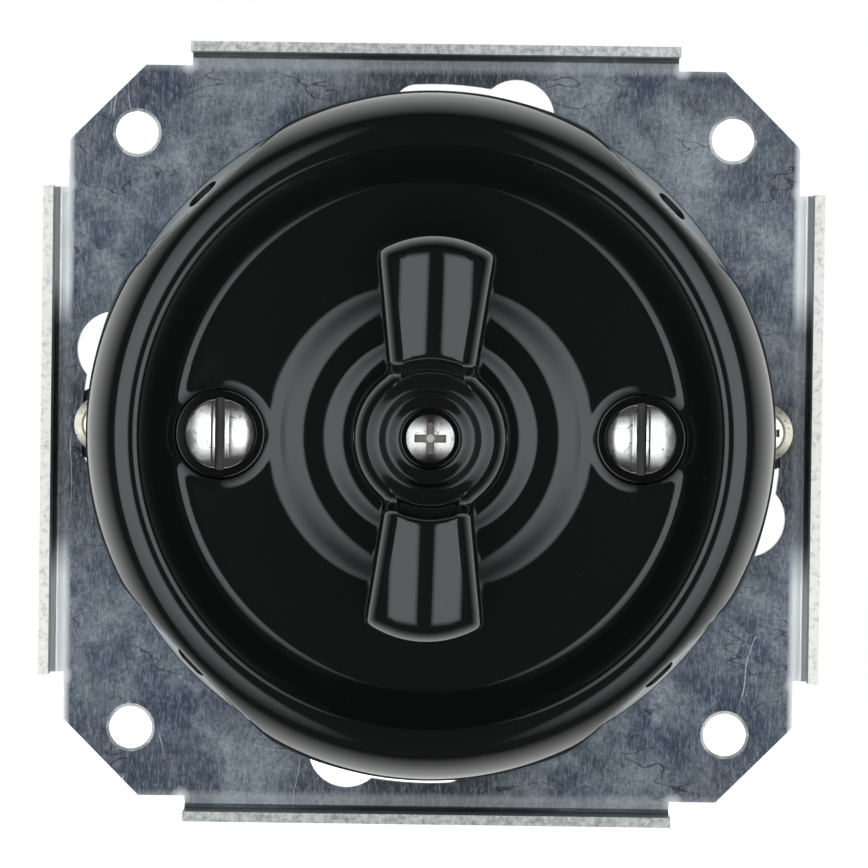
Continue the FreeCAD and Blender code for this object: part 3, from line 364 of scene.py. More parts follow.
def cover_outline():
    """Closed (r, z) outline of the cover, from the bore over the front, the rim and the foot."""
    centre = COVER_RADIUS - ROLL_RADIUS
    crease = arc(centre, ROLL_Z, ROLL_RADIUS, CREASE_TURN, CREASE_TURN, 1)[0]
    crest_r = crease[0] - SHOULDER_RUN
    crest_z = crease[1] + SHOULDER_RADIUS - math.sqrt(SHOULDER_RADIUS ** 2 - SHOULDER_RUN ** 2)
    slope_top = crest_r - BEAD_RUN
    step_1 = mound(*STEP_1, FIELD_Z)
    step_2 = mound(*STEP_2, step_1[0, 1])
    points = [
        [(BORE_RADIUS, step_2[0, 1])],
        step_2,
        step_1,
        arc(FIELD_RADIUS, FIELD_Z + FOOT_RADIUS, FOOT_RADIUS, -90, -90 + FOOT_TURN, 8),
        [(slope_top - SLOPE_RUN, FIELD_Z + SLOPE_FOOT), (slope_top, crest_z - 0.2)],
        arc(crest_r, crest_z - BEAD_RADIUS, BEAD_RADIUS, 90 + BEAD_TURN, 90, 8),
        arc(crest_r, crest_z - SHOULDER_RADIUS, SHOULDER_RADIUS, 90, 90 - SHOULDER_TURN, 10),
        arc(centre, ROLL_Z, ROLL_RADIUS, CREASE_TURN - 0.6, 0, 40),
        [(COVER_RADIUS, SEAT_Z + RIM_ROUND), (COVER_RADIUS - RIM_ROUND, SEAT_Z)],
        [(CAVITY_RADIUS, SEAT_Z), (CAVITY_RADIUS, CAVITY_Z), (CAVITY_INNER, CAVITY_Z)],
        [(BORE_ROOM, BORE_END_Z), (BORE_RADIUS, BORE_END_Z)],
    ]
    return np.concatenate([np.array(p, float).reshape(-1, 2) for p in points])


def front_height(profile, r):
    """Height of the cover's front at a radius, read off the profile from past the bore's
    round to the widest place."""
    front = profile[:int(np.argmax(profile[:, 0]))]
    front = front[np.argmax(front[:, 0] > BORE_RADIUS + 0.9):]
    return np.interp(r, front[:, 0], front[:, 1])


def with_flats(points):
    """Moves points inside four upright flats: r becomes the soft minimum of r and the
    distance to the flat along the same ray, flat / cos(angle from its middle)."""
    r = np.hypot(points[..., 0], points[..., 1])
    angle = np.degrees(np.arctan2(points[..., 1], points[..., 0]))
    off = np.radians((angle - FLAT_ANGLE + 45) % 90 - 45)
    over = (r - COVER_FLAT / np.cos(off)) / FLAT_BLEND
    held = r - np.where(over > -6, FLAT_BLEND * np.log1p(np.exp(np.clip(over, -30, 30))), 0)
    moved = points.copy()
    moved[..., :2] *= (held / np.maximum(r, 1e-9))[..., None]
    return moved


def recess_grid(shell, grid, rows, side, profile):
    """Screw recess in a gap of the turned grid: rays from the recess centre run from the gap's
    edge down a soft crown, (run - d)^2 / 2R below the field at d from the wall, over a small
    round, down the wall and over the floor."""
    middle = 0 if side > 0 else TURN_STEPS // 2
    columns = (middle + np.arange(-HOLE_HALF_STEPS, HOLE_HALF_STEPS + 1)) % TURN_STEPS
    low, high = rows
    first = grid[low, columns]
    last = grid[high, columns][::-1]
    up = grid[low:high + 1, columns[-1]]
    down = grid[low:high + 1, columns[0]][::-1]
    gap = np.concatenate([first[:-1], up[:-1], last[:-1], down[:-1]])
    centre = np.array([side * SCREW_OFFSET, 0.0])
    away = gap[:, :2] - centre
    reach = np.linalg.norm(away, axis=1)
    ray = away / reach[:, None]

    def on_front(d, drop):
        spot = centre + ray * np.reshape(d, (-1, 1))
        return with_height(spot, front_height(profile, np.linalg.norm(spot, axis=1)) - drop)

    def crown_drop(d):
        return (CROWN_RUN - d) ** 2 / (2 * CROWN_RADIUS)

    crown = RECESS_RADIUS + CROWN_RUN
    rings = [gap]
    for share in np.linspace(0, 1, 10)[1:]:
        rings.append(on_front(reach - share * (reach - crown), 0))
    for d in np.linspace(CROWN_RUN, RECESS_EDGE, 16)[1:]:
        rings.append(on_front(RECESS_RADIUS + d, crown_drop(d)))
    for turn in np.radians(np.linspace(25, 90, 6)):
        drop = crown_drop(RECESS_EDGE) + RECESS_EDGE * (1 - math.cos(turn))
        rings.append(on_front(RECESS_RADIUS + RECESS_EDGE * (1 - math.sin(turn)), drop))
    top = rings[-1]
    for fall in (0.35, 0.7, 1.0):
        rings.append(with_height(top[:, :2], top[:, 2] + (RECESS_Z + RECESS_FOOT - top[:, 2]) * fall))
    for turn in np.radians(np.linspace(15, 90, 6)):
        d = RECESS_RADIUS - RECESS_FOOT * (1 - math.cos(turn))
        rings.append(with_height(centre + ray * d, RECESS_Z + RECESS_FOOT * (1 - math.sin(turn))))
    for d in (3.8, 3.7, 2.5, 1.0, 0.0):
        rings.append(with_height(centre + ray * d, RECESS_Z))
    shell.add(np.array(rings), wrap=True, flip=True)


def glazed_cover(material):
    """Porcelain cover: its softened outline turned round the axis, cut by four flats, with two
    screw recesses let into the field and a boss under each."""
    profile = softened(cover_outline(), COVER_SOFT)
    start = int(np.argmin(np.hypot(profile[:, 0] - BORE_RADIUS, profile[:, 1] - FIELD_Z)))
    profile = np.roll(profile, -start, axis=0)
    outline = thinned(np.vstack([profile, profile[:1]]), OUTLINE_POINTS, 0.9)
    outline[-1] = outline[0]
    grid = with_flats(turned_grid(outline, TURN_STEPS))
    crown = RECESS_RADIUS + CROWN_RUN
    widest = int(np.argmax(outline[:, 0]))
    low = int(np.argmax(outline[:, 0] > SCREW_OFFSET - crown - HOLE_MARGIN_IN))
    high = int(np.argmin(np.abs(outline[:widest, 0] - (SCREW_OFFSET + crown + HOLE_MARGIN_OUT))))
    keep = np.ones((len(outline) - 1, TURN_STEPS), bool)
    for middle in (0, TURN_STEPS // 2):
        columns = (middle + np.arange(-HOLE_HALF_STEPS, HOLE_HALF_STEPS)) % TURN_STEPS
        keep[low:high, columns] = False
    shell = Shell()
    shell.add(grid, wrap=True, flip=True, keep=keep)
    boss = np.array([(0, BOSS_TOP_Z), (BOSS_RADIUS, BOSS_TOP_Z), (BOSS_RADIUS, BOSS_END_Z),
                     (BOSS_HOLE, BOSS_END_Z), (BOSS_HOLE, BOSS_HOLE_END_Z), (0, BOSS_HOLE_END_Z)])
    for side in (1, -1):
        recess_grid(shell, grid, (low, high), side, profile)
        shell.add(turned_grid(boss, 48, side * SCREW_OFFSET), wrap=True, flip=True)
    return piece("glazed_cover", shell, "frame", material, 50, "cover_disc")


# Knob

def wing_corner():
    """Centre of the round in a wing's outer corner, the normal of the side, the middle of the
    tip's arc along y and the arc's radius."""
    flare = (WING_HALF_WIDTH - WAIST_HALF_WIDTH) / (WING_SHOULDER - WAIST_Y)
    rise = WING_TIP - WING_SHOULDER
    radius = (WING_HALF_WIDTH ** 2 + rise ** 2) / (2 * rise)
    end_y = WING_TIP - radius
    normal = np.array([1, -flare]) / math.hypot(1, flare)
    y = np.linspace(WAIST_Y + 4, WING_TIP, 4001)
    x = WAIST_HALF_WIDTH - WING_CORNER * math.hypot(1, flare) + flare * (y - WAIST_Y)
    best = int(np.argmin(np.abs(np.hypot(x, y - end_y) - (radius - WING_CORNER))))
    return np.array([x[best], y[best]]), normal, end_y, radius


def in_corner(spot):
    """Whether a point of the first quarter lies past the corner's centre on both sides."""
    corner, normal, end_y, _ = wing_corner()
    outward = (corner - [0, end_y]) / np.linalg.norm(corner - [0, end_y])
    past = spot - corner
    across = normal[0] * outward[1] - normal[1] * outward[0]
    by_side = (past[..., 0] * outward[1] - past[..., 1] * outward[0]) / across
    by_end = (past[..., 1] * normal[0] - past[..., 0] * normal[1]) / across
    return (by_side > 0) & (by_end > 0)


def knob_outline(count=720):
    """Plan outline of hub and wings at the foot, counter-clockwise: the union of a circle and
    two flared bars with a round end and round corners, with its inner corners softened."""
    corner, normal, end_y, radius = wing_corner()
    turn = np.radians(np.linspace(0, 360, 5400, endpoint=False))
    ray = np.stack([np.abs(np.cos(turn)), np.abs(np.sin(turn))], axis=1)
    along = np.linspace(0, 20, 1601)
    spot = ray[:, None, :] * along[None, :, None]
    flare = -normal[1] / normal[0]
    in_bar = spot[..., 0] <= WAIST_HALF_WIDTH + flare * np.maximum(spot[..., 1] - WAIST_Y, 0)
    in_bar &= np.hypot(spot[..., 0], spot[..., 1] - end_y) <= radius
    in_bar &= ~(in_corner(spot) & (np.linalg.norm(spot - corner, axis=-1) > WING_CORNER))
    inside = in_bar | (along[None, :] <= HUB_RADIUS)
    reach = along[inside.shape[1] - 1 - np.argmax(inside[:, ::-1], axis=1)]
    flat = np.stack([np.cos(turn), np.sin(turn)], axis=1) * reach[:, None]
    return resampled_loop(softened(flat, PLAN_SOFT, 0.03), count)


def outline_normals(outline):
    """Outward normals of a counter-clockwise closed line."""
    run = np.roll(outline, -1, axis=0) - np.roll(outline, 1, axis=0)
    run /= np.linalg.norm(run, axis=1)[:, None]
    return np.stack([run[:, 1], -run[:, 0]], axis=1)


def corner_stretch(outline, normals):
    """How far the wings' crisp outer corners stand out from the rounder outline: along each
    normal from the round's centre, the soft minimum of the ways to the side and to the tip."""
    corner, side, end_y, radius = wing_corner()
    n = np.abs(normals)
    to_side = WING_CORNER / np.maximum(n @ side, 0.2)
    off = corner - [0, end_y]
    b = n @ off
    to_tip = -b + np.sqrt(np.maximum(b ** 2 - off @ off + radius ** 2, 0))
    nearest = -CORNER_BLEND * np.log(np.exp(-to_side / CORNER_BLEND) + np.exp(-to_tip / CORNER_BLEND))
    return np.where(in_corner(np.abs(outline)), np.maximum(nearest - WING_CORNER, 0), 0)


def crown_height(spot):
    """Height of the wings' round crown, R - sqrt(R^2 - x^2) below its crest, run down into the
    crest of the hub between two radii."""
    across = np.minimum(np.abs(spot[:, 0]), 8)
    crown = KNOB_TOP_Z - WING_CROWN_RADIUS + np.sqrt(WING_CROWN_RADIUS ** 2 - across ** 2)
    share = smooth((np.hypot(spot[:, 0], spot[:, 1]) - HUB_CREST) / WING_RAMP)
    return HUB_TOP_Z + (crown - HUB_TOP_Z) * share


def dish_line():
    """(r, z) line of the stepped dish, from just inside the hub's crest to the axis. It is
    softened as a loop, closed far below and outside, and the loop is then cut open."""
    steps = [(r, HUB_TOP_Z - fall) for r, fall in DISH_STEPS]
    deep = COUNTERBORE_Z - 3
    loop = np.array([(HUB_CREST, HUB_TOP_Z), *steps, (COUNTERBORE_RADIUS, COUNTERBORE_Z),
                     (0.0, COUNTERBORE_Z), (0.0, deep), (9.0, deep), (9.0, HUB_TOP_Z - 5.5)])
    soft = softened(loop, DISH_SOFT)
    begin = int(np.argmin(np.hypot(soft[:, 0] - HUB_CREST + 0.12, soft[:, 1] - HUB_TOP_Z + 0.02)))
    soft = np.roll(soft, -begin, axis=0)
    stop = int(np.argmax((soft[:, 0] < 0.4) & (soft[:, 1] < COUNTERBORE_Z + 0.2)))
    return np.vstack([thinned(soft[:stop], 44, 0.6), [(0.0, COUNTERBORE_Z)]])


def winged_knob(material):
    """Knob: walls drafted inwards from the outline, an edge round that turns until it meets the
    crown or the hub's crest, the crown as a height over the plan, the turned dish, and a flat
    underside with its collar."""
    outline = knob_outline()
    normals = outline_normals(outline)
    in_wing = smooth((np.abs(outline[:, 1]) - WING_START) / WING_BLEND)
    near = outline - normals * (WING_DRAFT + WING_EDGE * 0.75)
    lean = np.degrees(np.arcsin(np.minimum(np.abs(near[:, 0]) / WING_CROWN_RADIUS, 1)))
    wing_turn = 90 - lean * np.abs(normals[:, 0])
    full = np.radians(HUB_EDGE_TURN + (wing_turn - HUB_EDGE_TURN) * in_wing)
    radius = HUB_EDGE + (WING_EDGE - HUB_EDGE) * in_wing
    stretch = corner_stretch(outline, normals)
    whole = WING_DRAFT + radius * (1 - np.cos(full))
    wider = (whole + stretch) / whole

    def at(inset, z):
        move = stretch - inset * wider
        return with_height(outline + normals * move[:, None], z)

    inner = at(whole, 0)[:, :2]
    neck = crown_height(inner) - radius * np.sin(full)
    foot = KNOB_Z + KNOB_FOOT_EDGE
    rings = [at(KNOB_FOOT_EDGE, KNOB_Z), at(KNOB_FOOT_EDGE * 0.3, KNOB_Z + KNOB_FOOT_EDGE * 0.3)]
    for share in np.linspace(0, 1, 7):
        rings.append(at(WING_DRAFT * share, foot + (neck - foot) * share))
    for share in np.linspace(0, 1, 15)[1:]:
        turn = full * share
        rings.append(at(WING_DRAFT + radius * (1 - np.cos(turn)), neck + radius * np.sin(turn)))
    angle = np.arctan2(inner[:, 1], inner[:, 0])
    circle = np.stack([np.cos(angle), np.sin(angle)], axis=1)
    for share in np.linspace(0, 1, 46)[1:]:
        spot = inner + (circle * HUB_CREST - inner) * share
        rings.append(with_height(spot, crown_height(spot)))
    for r, z in dish_line():
        rings.append(with_height(circle * r, z))
    shell = Shell()
    shell.add(np.array(rings), wrap=True)
    under = [at(KNOB_FOOT_EDGE, KNOB_Z)]
    for r, z in ((COLLAR_RADIUS, KNOB_Z), (COLLAR_RADIUS, COLLAR_Z), (0.0, COLLAR_Z)):
        under.append(with_height(circle * r, z))
    shell.add(np.array(under), wrap=True, flip=True)
    shell.turn(-KNOB_LEAN)
    return piece("winged_knob", shell, "rotor", material, 50, "knob")


# Cover screws

def slotted_head(shell, x):
    """Raised head with a straight slot: two half discs, each a sheet between the slot's edge
    and the rim, at the height of a spherical cap with a round rim and a burr along the slot,
    a bell curve."""
    sphere = (HEAD_RADIUS ** 2 + HEAD_DOME ** 2) / (2 * HEAD_DOME)
    edge_z = RECESS_Z + HEAD_EDGE
    floor_z = edge_z + HEAD_DOME - SLOT_DEPTH
    half_chord = math.sqrt(HEAD_RADIUS ** 2 - SLOT_HALF ** 2)
    sweep = math.atan2(half_chord, SLOT_HALF)
    v = np.linspace(-1, 1, 65)
    rim = np.stack([HEAD_RADIUS * np.cos(v * sweep), HEAD_RADIUS * np.sin(v * sweep)], axis=1)
    slot = np.stack([np.full_like(v, SLOT_HALF), v * half_chord], axis=1)
    u = np.concatenate([np.linspace(0, 0.25, 14, endpoint=False),
                        np.linspace(0.25, 0.9, 15, endpoint=False), np.linspace(0.9, 1, 9)])
    spot = slot[None] * (1 - u[:, None, None]) + rim[None] * u[:, None, None]
    r = np.hypot(spot[..., 0], spot[..., 1])
    aside = spot[..., 0] - SLOT_HALF
    cap = np.sqrt(np.maximum(sphere ** 2 - r ** 2, 0)) - (sphere - HEAD_DOME)
    near_rim = np.clip((r - HEAD_RADIUS + HEAD_RIM) / HEAD_RIM, 0, 1)
    burr = BURR_HEIGHT * np.exp(-((aside - BURR_PLACE) / BURR_WIDTH) ** 2) * (1 - near_rim)
    rim_fall = HEAD_RIM_FALL * (1 - np.sqrt(1 - near_rim ** 2 * 0.98))
    bevel = SLOT_BEVEL * np.clip((SLOT_BEVEL - aside) / SLOT_BEVEL, 0, 1) ** 2
    z = edge_z + cap + burr - rim_fall - bevel
    lean = HEAD_LEAN * spot[..., 0] / HEAD_RADIUS * (1 - (r / HEAD_RADIUS) ** 2)
    for mirror in (1, -1):
        turn = np.array([mirror, mirror, 1])
        top = np.concatenate([spot, (z - mirror * math.copysign(1, x) * lean)[..., None]], axis=2)
        wall = np.stack([top[0], top[0] * [1, 1, 0] + [0, 0, floor_z]])
        floor = np.stack([wall[1], wall[1] * [0, 1, 1]])
        low = top[-1] * [1, 1, 0] + [0, 0, RECESS_Z + 0.05]
        side = np.stack([top[-1], low, low * [0, 0, 1]])
        for part, flip in ((top, True), (wall, False), (floor, False), (side, True)):
            shell.add(part * turn + [x, 0, 0], flip=flip)


def cover_screw(name, x, material):
    """Slotted raised-head screw: its head and a turned shank."""
    shell = Shell()
    slotted_head(shell, x)
    top_z = RECESS_Z + 0.04
    end_z = RECESS_Z - SHANK_LENGTH
    shank = np.array([(0, top_z), (SHANK_RADIUS, top_z), (SHANK_RADIUS, end_z + SHANK_POINT),
                      (SHANK_RADIUS - SHANK_POINT, end_z), (0, end_z)])
    shell.add(turned_grid(shank, 40, x), wrap=True, flip=True)
    return piece("bright_" + name, shell, "frame", material, 35, name)


# Materials

class Finish:
    """Small builder for a node material round one Principled shader."""

    def __init__(self, name):
        self.material = bpy.data.materials.new(name)
        self.material.use_nodes = True
        self.nodes = self.material.node_tree.nodes
        self.links = self.material.node_tree.links
        self.shader = self.nodes["Principled BSDF"]
        self.place = self.nodes.new("ShaderNodeTexCoord").outputs["Object"]

    def set(self, **values):
        for name, value in values.items():
            self.shader.inputs[name.replace("_", " ")].default_value = value
        return self

    def node(self, kind, **values):
        """New node; values named in_ are its inputs, the others its settings."""
        made = self.nodes.new(kind)
        for name, value in values.items():
            if name.startswith("in_"):
                made.inputs[name[3:].replace("_", " ")].default_value = value
            else:
                setattr(made, name, value)
        return made

    def feed(self, socket, value):
        """A number, a colour or another node's output into a socket."""
        if isinstance(value, (int, float)):
            socket.default_value = value
        elif isinstance(value, tuple):
            socket.default_value = (*value, 1)
        else:
            self.links.new(value, socket)

    def stretched(self, scale, turn=(0, 0, 0)):
        made = self.node("ShaderNodeMapping", in_Scale=scale, in_Rotation=turn)
        self.links.new(self.place, made.inputs["Vector"])
        return made.outputs["Vector"]

    def noise(self, scale, detail, rough, vector=None):
        made = self.node("ShaderNodeTexNoise", in_Scale=scale, in_Detail=detail, in_Roughness=rough)
        self.links.new(vector or self.place, made.inputs["Vector"])
        return made.outputs["Fac"]

    def ramp(self, value, *stops):
        """Colours at places of a value from 0 to 1, evenly mixed between them."""
        made = self.node("ShaderNodeValToRGB")
        band = made.color_ramp
        while len(band.elements) < len(stops):
            band.elements.new(0.5)
        for element, (place, colour) in zip(band.elements, stops):
            element.position = place
            element.color = (*colour, 1)
        self.links.new(value, made.inputs["Fac"])
        return made.outputs["Color"]

    def span(self, value, low, high, to_low=0.0, to_high=1.0):
        """Value between low and high, turned into to_low up to to_high."""
        made = self.node("ShaderNodeMapRange", in_From_Min=low, in_From_Max=high,
                         in_To_Min=to_low, in_To_Max=to_high)
        self.links.new(value, made.inputs["Value"])
        return made.outputs["Result"]

    def math(self, kind, *values):
        made = self.node("ShaderNodeMath", operation=kind)
        for socket, value in zip(made.inputs, values):
            self.feed(socket, value)
        return made.outputs["Value"]

    def distance(self, first, second):
        """Root of the sum of two squares."""
        squares = [self.math("MULTIPLY", value, value) for value in (first, second)]
        return self.math("SQRT", self.math("ADD", *squares))

    def mixed(self, share, first, second):
        made = self.node("ShaderNodeMix", data_type="RGBA", blend_type="MIX")
        for socket, value in zip((made.inputs[0], made.inputs[6], made.inputs[7]), (share, first, second)):
            self.feed(socket, value)
        return made.outputs[2]

    def threads(self, scale, width, vector):
        """Thin winding lines, where a noise passes its middle value."""
        off = self.math("ABSOLUTE", self.math("SUBTRACT", self.noise(scale, 3, 0.5, vector), 0.5))
        return self.span(off, width * 0.35, width, 1.0, 0.0)

    def parts(self, vector=None):
        split = self.node("ShaderNodeSeparateXYZ")
        self.links.new(vector or self.place, split.inputs["Vector"])
        return split.outputs["X"], split.outputs["Y"], split.outputs["Z"]

    def both(self, *masks):
        """Product of masks."""
        made = masks[0]
        for mask in masks[1:]:
            made = self.math("MULTIPLY", made, mask)
        return made

    def above(self, value, limit):
        return self.math("GREATER_THAN", value, limit)

    def below(self, value, limit):
        return self.math("LESS_THAN", value, limit)

    def bump(self, height, distance, strength):
        made = self.node("ShaderNodeBump", in_Strength=strength, in_Distance=distance)
        self.links.new(height, made.inputs["Height"])
        self.links.new(made.outputs["Normal"], self.shader.inputs["Normal"])

    def to(self, name, value):
        self.links.new(value, self.shader.inputs[name])


def black_glaze():
    """Deep black glaze with a faint orange skin and a little dust."""
    f = Finish("black_glaze").set(IOR=1.5, Coat_Weight=0.0)
    f.to("Base Color", f.ramp(f.noise(2600, 2, 0.6), (0.0, (0.0045, 0.005, 0.005)),
                              (0.7, (0.005, 0.0055, 0.0055)), (0.78, (0.02, 0.02, 0.02))))
    f.to("Roughness", f.span(f.noise(260, 4, 0.6), 0.35, 0.7, 0.046, 0.056))
    f.bump(f.noise(350, 2, 0.5), 0.00001, 0.12)
    return f.material


def window_painted_shade(f):
    """Mask of the cut faces of the four oval windows, which are painted dark as the shade seen through
    them: between the two sloping faces of the seat's wall and beside the middle of a seat, all from Object
    coordinates."""
    x, y, z = f.parts(f.stretched((1, 1, 1), (0, math.radians(FLAT_ANGLE), 0)))
    out = f.math("MULTIPLY", y, -1.0)
    wall = f.math("ADD", f.distance(x, z), f.math("MULTIPLY", out, WALL_SLOPE))
    beside = f.math("MINIMUM", f.math("ABSOLUTE", x), f.math("ABSOLUTE", z))
    skin = 0.03
    return f.both(f.above(wall, (WALL_FOOT - WALL_THICKNESS - skin) * MM),
                  f.below(wall, (WALL_FOOT - skin) * MM), f.below(beside, WINDOW_HALF_WIDTH * MM),
                  f.above(out, WINDOW_LOW * MM), f.below(out, WINDOW_HIGH * MM))


def zinc_skin(f, slim, wide, cloud, grain, upright):
    """Colour of the flat sheet: blue-grey clouds and navy patches, a painted dark reflection beside the
    middle lines, darker round the corners, a fine grain, long cracks, bright dots and thin scratches."""
    patch = f.noise(95, 5, 0.62)
    base = f.ramp(patch, (0.38, (0.062, 0.082, 0.125)), (0.5, (0.165, 0.195, 0.235)),
                  (0.62, (0.3, 0.335, 0.375)))
    base = f.mixed(f.span(cloud, 0.5, 0.64, 0.0, 0.7), base, (0.42, 0.46, 0.5))
    base = f.mixed(f.span(cloud, 0.34, 0.48, 0.7, 0.0), base, (0.035, 0.045, 0.065))
    # darker beside the middle lines: painted dark reflection of the black cover
    wander = f.math("MULTIPLY", patch, 14 * MM)
    beside = f.span(f.math("ADD", slim, wander), 11 * MM, 20 * MM, 0.84, 0.0)
    base = f.mixed(beside, base, (0.026, 0.033, 0.037))
    corner = f.math("SUBTRACT", f.math("ADD", slim, wide), wander)
    base = f.mixed(f.span(corner, 42 * MM, 51 * MM, 0.0, 0.6), base, (0.04, 0.05, 0.08))
    base = f.mixed(f.span(grain, 0.38, 0.58, 0.6, 0.0), base, (0.03, 0.038, 0.055))
    base = f.mixed(f.span(upright, 0.48, 0.7, 0.0, 0.5), base, (0.5, 0.54, 0.58))
    rare = f.span(f.noise(230, 2, 0.5), 0.46, 0.54)
    cracks = f.threads(105, 0.0042, f.stretched((0.6, 1, 1.9), (0, 0.05, 0)))
    base = f.mixed(f.both(cracks, rare, 0.7), base, (0.015, 0.018, 0.025))
    dots = f.span(f.noise(3600, 2, 0.6, f.stretched((1, 1, 0.8), (0.3, 0.2, 0.9))), 0.72, 0.77)
    base = f.mixed(f.both(dots, 0.6), base, (0.7, 0.73, 0.75))
    seldom = f.span(f.noise(180, 2, 0.5, f.stretched((1, 1, 1), (0.4, 0.3, 0.9))), 0.56, 0.6)
    scratches = f.threads(70, 0.0026, f.stretched((2.2, 1, 0.4), (0, 0.25, 0)))
    return f.mixed(f.both(scratches, seldom, 0.65), base, (0.75, 0.78, 0.8))


def zinc_flanges(f, base, rise, slim, wide, upon):
    """Bends with a painted highlight, those at the sides away from their middle, green-grey inner faces, a
    painted highlight at the ends of the flanges, and their cut edges with a painted highlight, pale at the
    sides. Gives the mask of the inner faces too."""
    y = f.parts()[1]
    # painted highlight along the bends, strongest on the side flanges away from their middle
    bend_highlight_share = f.math("MAXIMUM", f.span(rise, 9.5 * MM, 13.5 * MM, 0.1, 0.95), f.math("SUBTRACT", 1.0, upon))
    bend = f.both(f.span(wide, BEND_START * MM, BEND_END * MM), f.above(y, -BEND_Z * MM), bend_highlight_share)
    base = f.mixed(f.both(bend, f.span(upon, 0, 1, 0.2, 1.0)), base, (0.95, 0.97, 0.97))
    inner = f.both(f.below(y, -BEND_Z * MM), f.above(wide, BEND_END * MM))
    base = f.mixed(f.both(inner, 0.8), base, (0.26, 0.34, 0.32))
    # pale spot at each end of a flange: painted highlight
    to_end = f.distance(f.math("SUBTRACT", slim, FLANGE_HALF_LENGTH * MM),
                        f.math("SUBTRACT", wide, (BEND_END + 0.1) * MM))
    base = f.mixed(f.span(to_end, 0.2 * MM, 1.0 * MM, 0.7, 0.0), base, (0.85, 0.88, 0.88))
    # cut edges of the flanges: painted highlight, paler on the side flanges than at top and bottom
    cut = f.both(f.span(y, (0.03 - CUT_Z) * MM, (-0.03 - CUT_Z) * MM),
                 f.span(y, -(CUT_Z + 0.15) * MM, -(CUT_Z + 0.1) * MM))
    fleck = f.noise(1500, 4, 0.75)
    pale = f.ramp(fleck, (0.3, (0.5, 0.5, 0.47)), (0.5, (0.88, 0.87, 0.82)))
    grey = f.ramp(fleck, (0.35, (0.32, 0.335, 0.34)), (0.6, (0.72, 0.73, 0.72)))
    return f.mixed(cut, base, f.mixed(upon, grey, pale)), inner


def zinc_sheet():
    """Dull zinc-plated steel of the plate: its skin, the bevels of its corners with a painted highlight,
    its flanges, and its seats, painted pale as a highlight, with their windows painted dark as shade."""
    f = Finish("zinc_sheet")
    x, y, z = f.parts()
    side = f.math("ABSOLUTE", x)
    rise = f.math("ABSOLUTE", z)
    wide = f.math("MAXIMUM", side, rise)
    slim = f.math("MINIMUM", side, rise)
    upon = f.above(side, rise)
    cloud = f.noise(230, 7, 0.72)
    grain = f.noise(2900, 5, 0.85)
    upright = f.noise(1.0, 6, 0.85, f.stretched((5200, 5200, 1100), (0, 0.08, 0)))
    base = zinc_skin(f, slim, wide, cloud, grain, upright)
    base, inner = zinc_flanges(f, base, rise, slim, wide, upon)
    # chamfer faces at the corners painted light grey: painted highlight, and made less rough
    bevel = f.both(f.above(y, (0.03 - SHEET) * MM), f.below(y, -0.04 * MM),
                   f.above(f.math("ADD", slim, wide), CHAMFER_START * MM), f.below(wide, BEVEL_END * MM))
    base = f.mixed(bevel, base, (0.6, 0.62, 0.63))
    # raised seats painted pale and less metallic: painted highlight
    seat = f.both(f.span(y, -(SHEET + 0.2) * MM, -(SHEET + 0.4) * MM), f.below(wide, SEAT_END * MM))
    base = f.mixed(f.both(seat, 0.88), base, (0.7, 0.74, 0.75))
    # cut faces of the windows painted near-black: painted shade
    base = f.mixed(window_painted_shade(f), base, (0.003, 0.004, 0.004))
    f.to("Base Color", base)
    dielectric = f.math("MULTIPLY", f.math("MAXIMUM", seat, inner), 0.6)
    f.to("Metallic", f.math("SUBTRACT", 0.9, dielectric))
    rough = f.math("ADD", f.span(cloud, 0.3, 0.75, 0.34, 0.46), f.span(grain, 0.3, 0.8, -0.05, 0.08))
    f.to("Roughness", f.math("SUBTRACT", rough, f.math("MULTIPLY", bevel, 0.15)))
    f.bump(f.math("ADD", grain, f.math("MULTIPLY", upright, 0.6)), 0.00001, 0.25)
    return f.material


class Nickel(Finish):
    """Bright plated screw with grey smudges, dark pits and faint turning marks. warm takes blue
    and a little green out of its colour."""

    def __init__(self, name, tone=1.0, warm=0.0):
        super().__init__(name)
        self.set(Metallic=1.0)
        tint = np.array([1.0, 1.0 - warm / 4, 1.0 - warm]) * tone
        dull = (tint * [0.66, 0.65, 0.63]).tolist()
        bright = (tint * [0.84, 0.83, 0.81]).tolist()
        smudge = self.noise(700, 5, 0.6)
        pits = self.span(self.noise(2300, 3, 0.7), 0.6, 0.68)
        base = self.ramp(smudge, (0.35, dull), (0.62, bright))
        self.base = self.mixed(self.both(pits, 0.85), base, (0.03, 0.03, 0.03))
        self.rough = self.span(smudge, 0.3, 0.75, 0.1, 0.2)
        self.bump(self.noise(1800, 4, 0.6), 0.00001, 0.3)

    def paint(self, mask, colour):
        self.base = self.mixed(mask, self.base, colour)

    def finished(self, recess):
        """The material, duller inside the mask of a recess."""
        self.to("Base Color", self.base)
        self.to("Roughness", self.math("ADD", self.rough, self.math("MULTIPLY", recess, 0.25)))
        return self.material


def slotted_nickel(name, slot_x):
    """Nickel of a cover screw, painted dark as shade below the edges of its slot."""
    f = Nickel(name)
    x, y, _ = f.parts()
    aside = f.math("ABSOLUTE", f.math("SUBTRACT", x, slot_x * MM))
    inside = f.both(f.below(aside, (SLOT_HALF + 0.02) * MM),
                    f.above(y, -(RECESS_Z + HEAD_EDGE + 0.12) * MM))
    # inside of the slot painted near-black: painted shade
    f.paint(inside, (0.06, 0.058, 0.06))
    return f.finished(inside)


